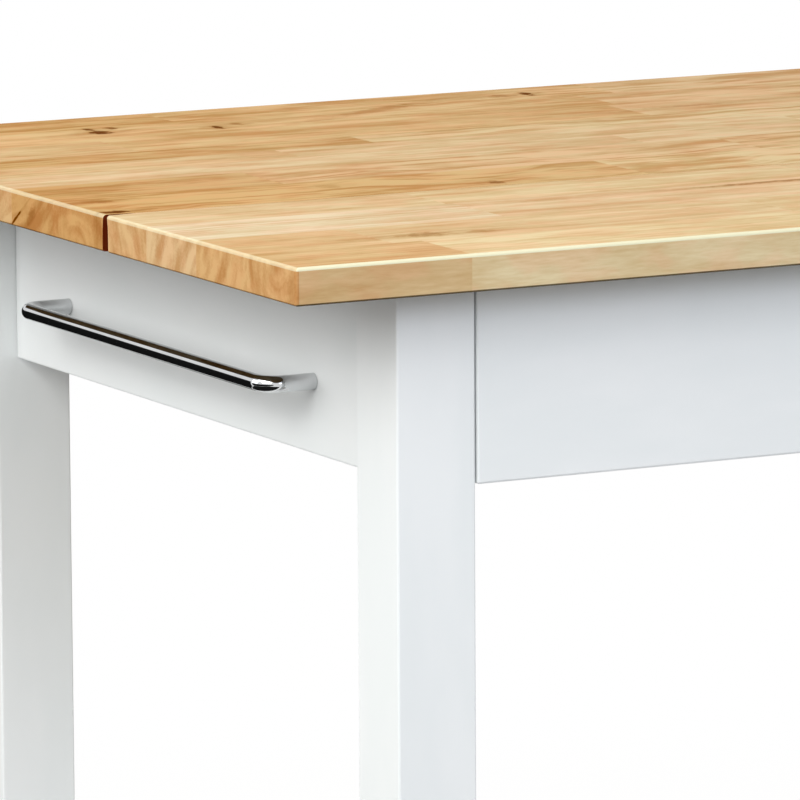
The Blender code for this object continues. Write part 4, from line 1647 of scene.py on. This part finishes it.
@dataclass
class Studio:
    """A white studio: camera, soft boxes, a pale floor, and dark cards that only bright metal shows."""

    camera_place: Point = (-2.6679, -4.7078, 1.6007)
    yaw: float = 27.525
    pitch: float = 9.295
    roll: float = 0.333
    focal_pixels: float = 7385.2
    sensor: float = 36.0
    fill: Colour = (0.63, 0.61, 0.575)
    floor_radius: float = 60.0
    floor_sides: int = 64
    floor_tone: float = 0.28
    floor_glow: float = 0.75
    clear_from: float = 0.8
    clear_to: float = 2.4
    card_tone: float = 0.01
    cards: tuple[Card, ...] = (
        Card("back_card", (-0.45, 1.1, 0.455), (0.9, 0.0, 0.0), (0.0, 0.0, 0.45)),
        Card("left_card", (-2.2, -0.8, 0.38), (0.0, 2.4, 0.0), (0.0, 0.0, 0.375)),
        Card("floor_card", (-1.3, -0.3, 0.004), (0.8, 0.0, 0.0), (0.0, 1.3, 0.0)),
    )
    lamps: tuple[SoftBox, ...] = (
        SoftBox("over_lamp", (-2.0, -0.4, 2.6), (-0.2, -0.1, 0.8), (2.4, 2.0), 20.8, (0.98, 1.0, 0.985)),
        SoftBox("left_lamp", (-2.8, -1.5, 2.4), (-0.2, -0.1, 0.6), (2.4, 2.0), 57.7, (0.98, 1.0, 0.985)),
        SoftBox("left_rear_lamp", (-3.0, 1.4, 1.6), (-0.3, 0.2, 0.6), (2.0, 1.6), 17.6, (0.96, 0.98, 1.0)),
        SoftBox("front_lamp", (0.3, -3.0, 2.6), (0.1, 0.0, 0.5), (2.6, 2.0), 20.6, (0.80, 0.87, 1.0)),
        SoftBox("far_front_lamp", (0.6, -6.0, 3.0), (0.1, 0.0, 0.5), (3.2, 2.4), 70.0, (0.80, 0.87, 1.0)),
    )

    def build(self) -> None:
        """Set up the camera, the lamps, the floor, the cards and the world."""
        self.camera()
        for lamp in self.lamps:
            self.hang(lamp)
        self.floor()
        for card in self.cards:
            self.stand(card)
        self.world()

    @staticmethod
    def link(name: str, data: bpy.types.ID) -> bpy.types.Object:
        """Put a new object of the studio's own in the scene.

        Args:
            name: Its name.
            data: Its mesh, lamp or camera.

        Returns:
            The object.
        """
        made = bpy.data.objects.new(name, data)
        bpy.context.scene.collection.objects.link(made)
        return made

    def camera(self) -> None:
        """Put the camera where the photograph was taken from."""
        data = bpy.data.cameras.new("photo_camera")
        data.sensor_width = self.sensor
        data.lens = self.focal_pixels / PHOTO_SIDE * self.sensor
        camera = self.link("photo_camera", data)
        turn = Matrix.Rotation(-math.radians(self.yaw), 4, "Z")
        turn @= Matrix.Rotation(math.radians(90 - self.pitch), 4, "X")
        turn @= Matrix.Rotation(-math.radians(self.roll), 4, "Z")
        camera.matrix_world = Matrix.Translation(self.camera_place) @ turn
        bpy.context.scene.camera = camera

    def hang(self, box: SoftBox) -> None:
        """Hang a soft box.

        Args:
            box: The soft box.
        """
        data = bpy.data.lights.new(box.name, "AREA")
        data.shape = "RECTANGLE"
        data.size, data.size_y = box.size
        data.energy = box.power
        data.color = box.tint
        lamp = self.link(box.name, data)
        lamp.location = box.place
        way = Vector(box.target) - Vector(box.place)
        lamp.rotation_euler = way.to_track_quat("-Z", "Y").to_euler()
        lamp.visible_camera = False

    @staticmethod
    def seen(graph: Graph) -> Value:
        """Tell the rays that show the background from those that only light the room.

        Args:
            graph: The graph that needs to know.

        Returns:
            1 for rays from the camera, off gloss and through glass, and 0 for others.
        """
        rays = graph.node("LightPath").outputs
        camera, gloss, glass = (Value(graph, rays[f"Is {kind} Ray"]) for kind in RAYS)
        return graph.math("MINIMUM", camera + gloss + glass, 1.0)

    def floor(self) -> None:
        """Lay the pale floor: it keeps the shadow near the island and fades to plain white further off."""
        shape = bmesh.new()
        bmesh.ops.create_circle(shape, cap_ends=True, segments=self.floor_sides, radius=self.floor_radius)
        graph = Graph.of_material("pale_floor")
        mesh = mesh_of("studio_floor", shape, graph.material)
        x, y, _ = graph.parts(graph.place())
        far = graph.math("SQRT", x * x + y * y).rise(self.clear_from, self.clear_to)
        seen = self.seen(graph)
        diffuse = graph.matt(self.floor_tone)
        glow = graph.add("Emission", inputs={"Strength": self.floor_glow})
        white = graph.add("Emission", inputs={"Strength": 1.0})
        bright = graph.add("AddShader", inputs={0: diffuse, 1: glow})
        near = graph.add("MixShader", inputs={0: seen, 1: diffuse, 2: bright})
        mixed = graph.add("MixShader", inputs={0: far * seen, 1: near, 2: white})
        graph.node("OutputMaterial", inputs={"Surface": mixed})
        self.link("studio_floor", mesh)

    def stand(self, card: Card) -> None:
        """Set up a dark card, which gives the bright metal its dark bands.

        Args:
            card: The card.
        """
        shape = bmesh.new()
        middle, aside, upward = (Vector(part) for part in (card.middle, card.aside, card.upward))
        corners = (aside + upward, upward - aside, -aside - upward, aside - upward)
        shape.faces.new([shape.verts.new(middle + corner) for corner in corners])
        graph = Graph.of_material(card.name)
        graph.node("OutputMaterial", inputs={"Surface": graph.matt(self.card_tone)})
        sheet = self.link(card.name, mesh_of(card.name, shape, graph.material))
        sheet.visible_camera = False
        sheet.visible_diffuse = False
        sheet.visible_shadow = False

    def world(self) -> None:
        """Fill the room with even light, and show it as white."""
        world = bpy.data.worlds.new("white_room")
        world.use_nodes = True
        bpy.context.scene.world = world
        graph = Graph(world.node_tree)
        fill = graph.add("Background", inputs={"Color": (*self.fill, 1.0)})
        room = graph.add("Background", inputs={"Color": (1.0, 1.0, 1.0, 1.0)})
        mixed = graph.add("MixShader", inputs={0: self.seen(graph), 1: fill, 2: room})
        graph.node("OutputWorld", inputs={"Surface": mixed})


def main() -> None:
    """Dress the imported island, one sub-assembly after the other."""
    logging.basicConfig(level=logging.INFO, format="%(message)s")
    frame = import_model()
    bpy.context.scene.view_settings.view_transform = "Standard"
    bench = Bench(frame["nodes"])
    paint = {axis: WhitePaint(axis).material() for axis in Axis}
    chrome = Chrome()
    plate = chrome.material()
    zinc = ZincSteel()
    steel = zinc.material()
    Studio().build()
    Worktop(bench, ButcherBlock()).build()
    Frame(bench, paint).build()
    Shelf(bench, paint).build()
    Feet(bench, GreyNylon()).build()
    Bow("towel_rail", "frame", Vector((0, 1, 0)), Vector((-1, 0, 0))).build(bench, chrome, plate)
    pull = Bow("drawer_pull", "drawer", Vector((1, 0, 0)), Vector((0, -1, 0)), bend=0.011)
    Drawer(bench, paint, pull, chrome, plate).build()
    Slides(bench, paint, steel).build()
    Fixings(bench, zinc, steel).build()


if __name__ == "__main__":
    main()
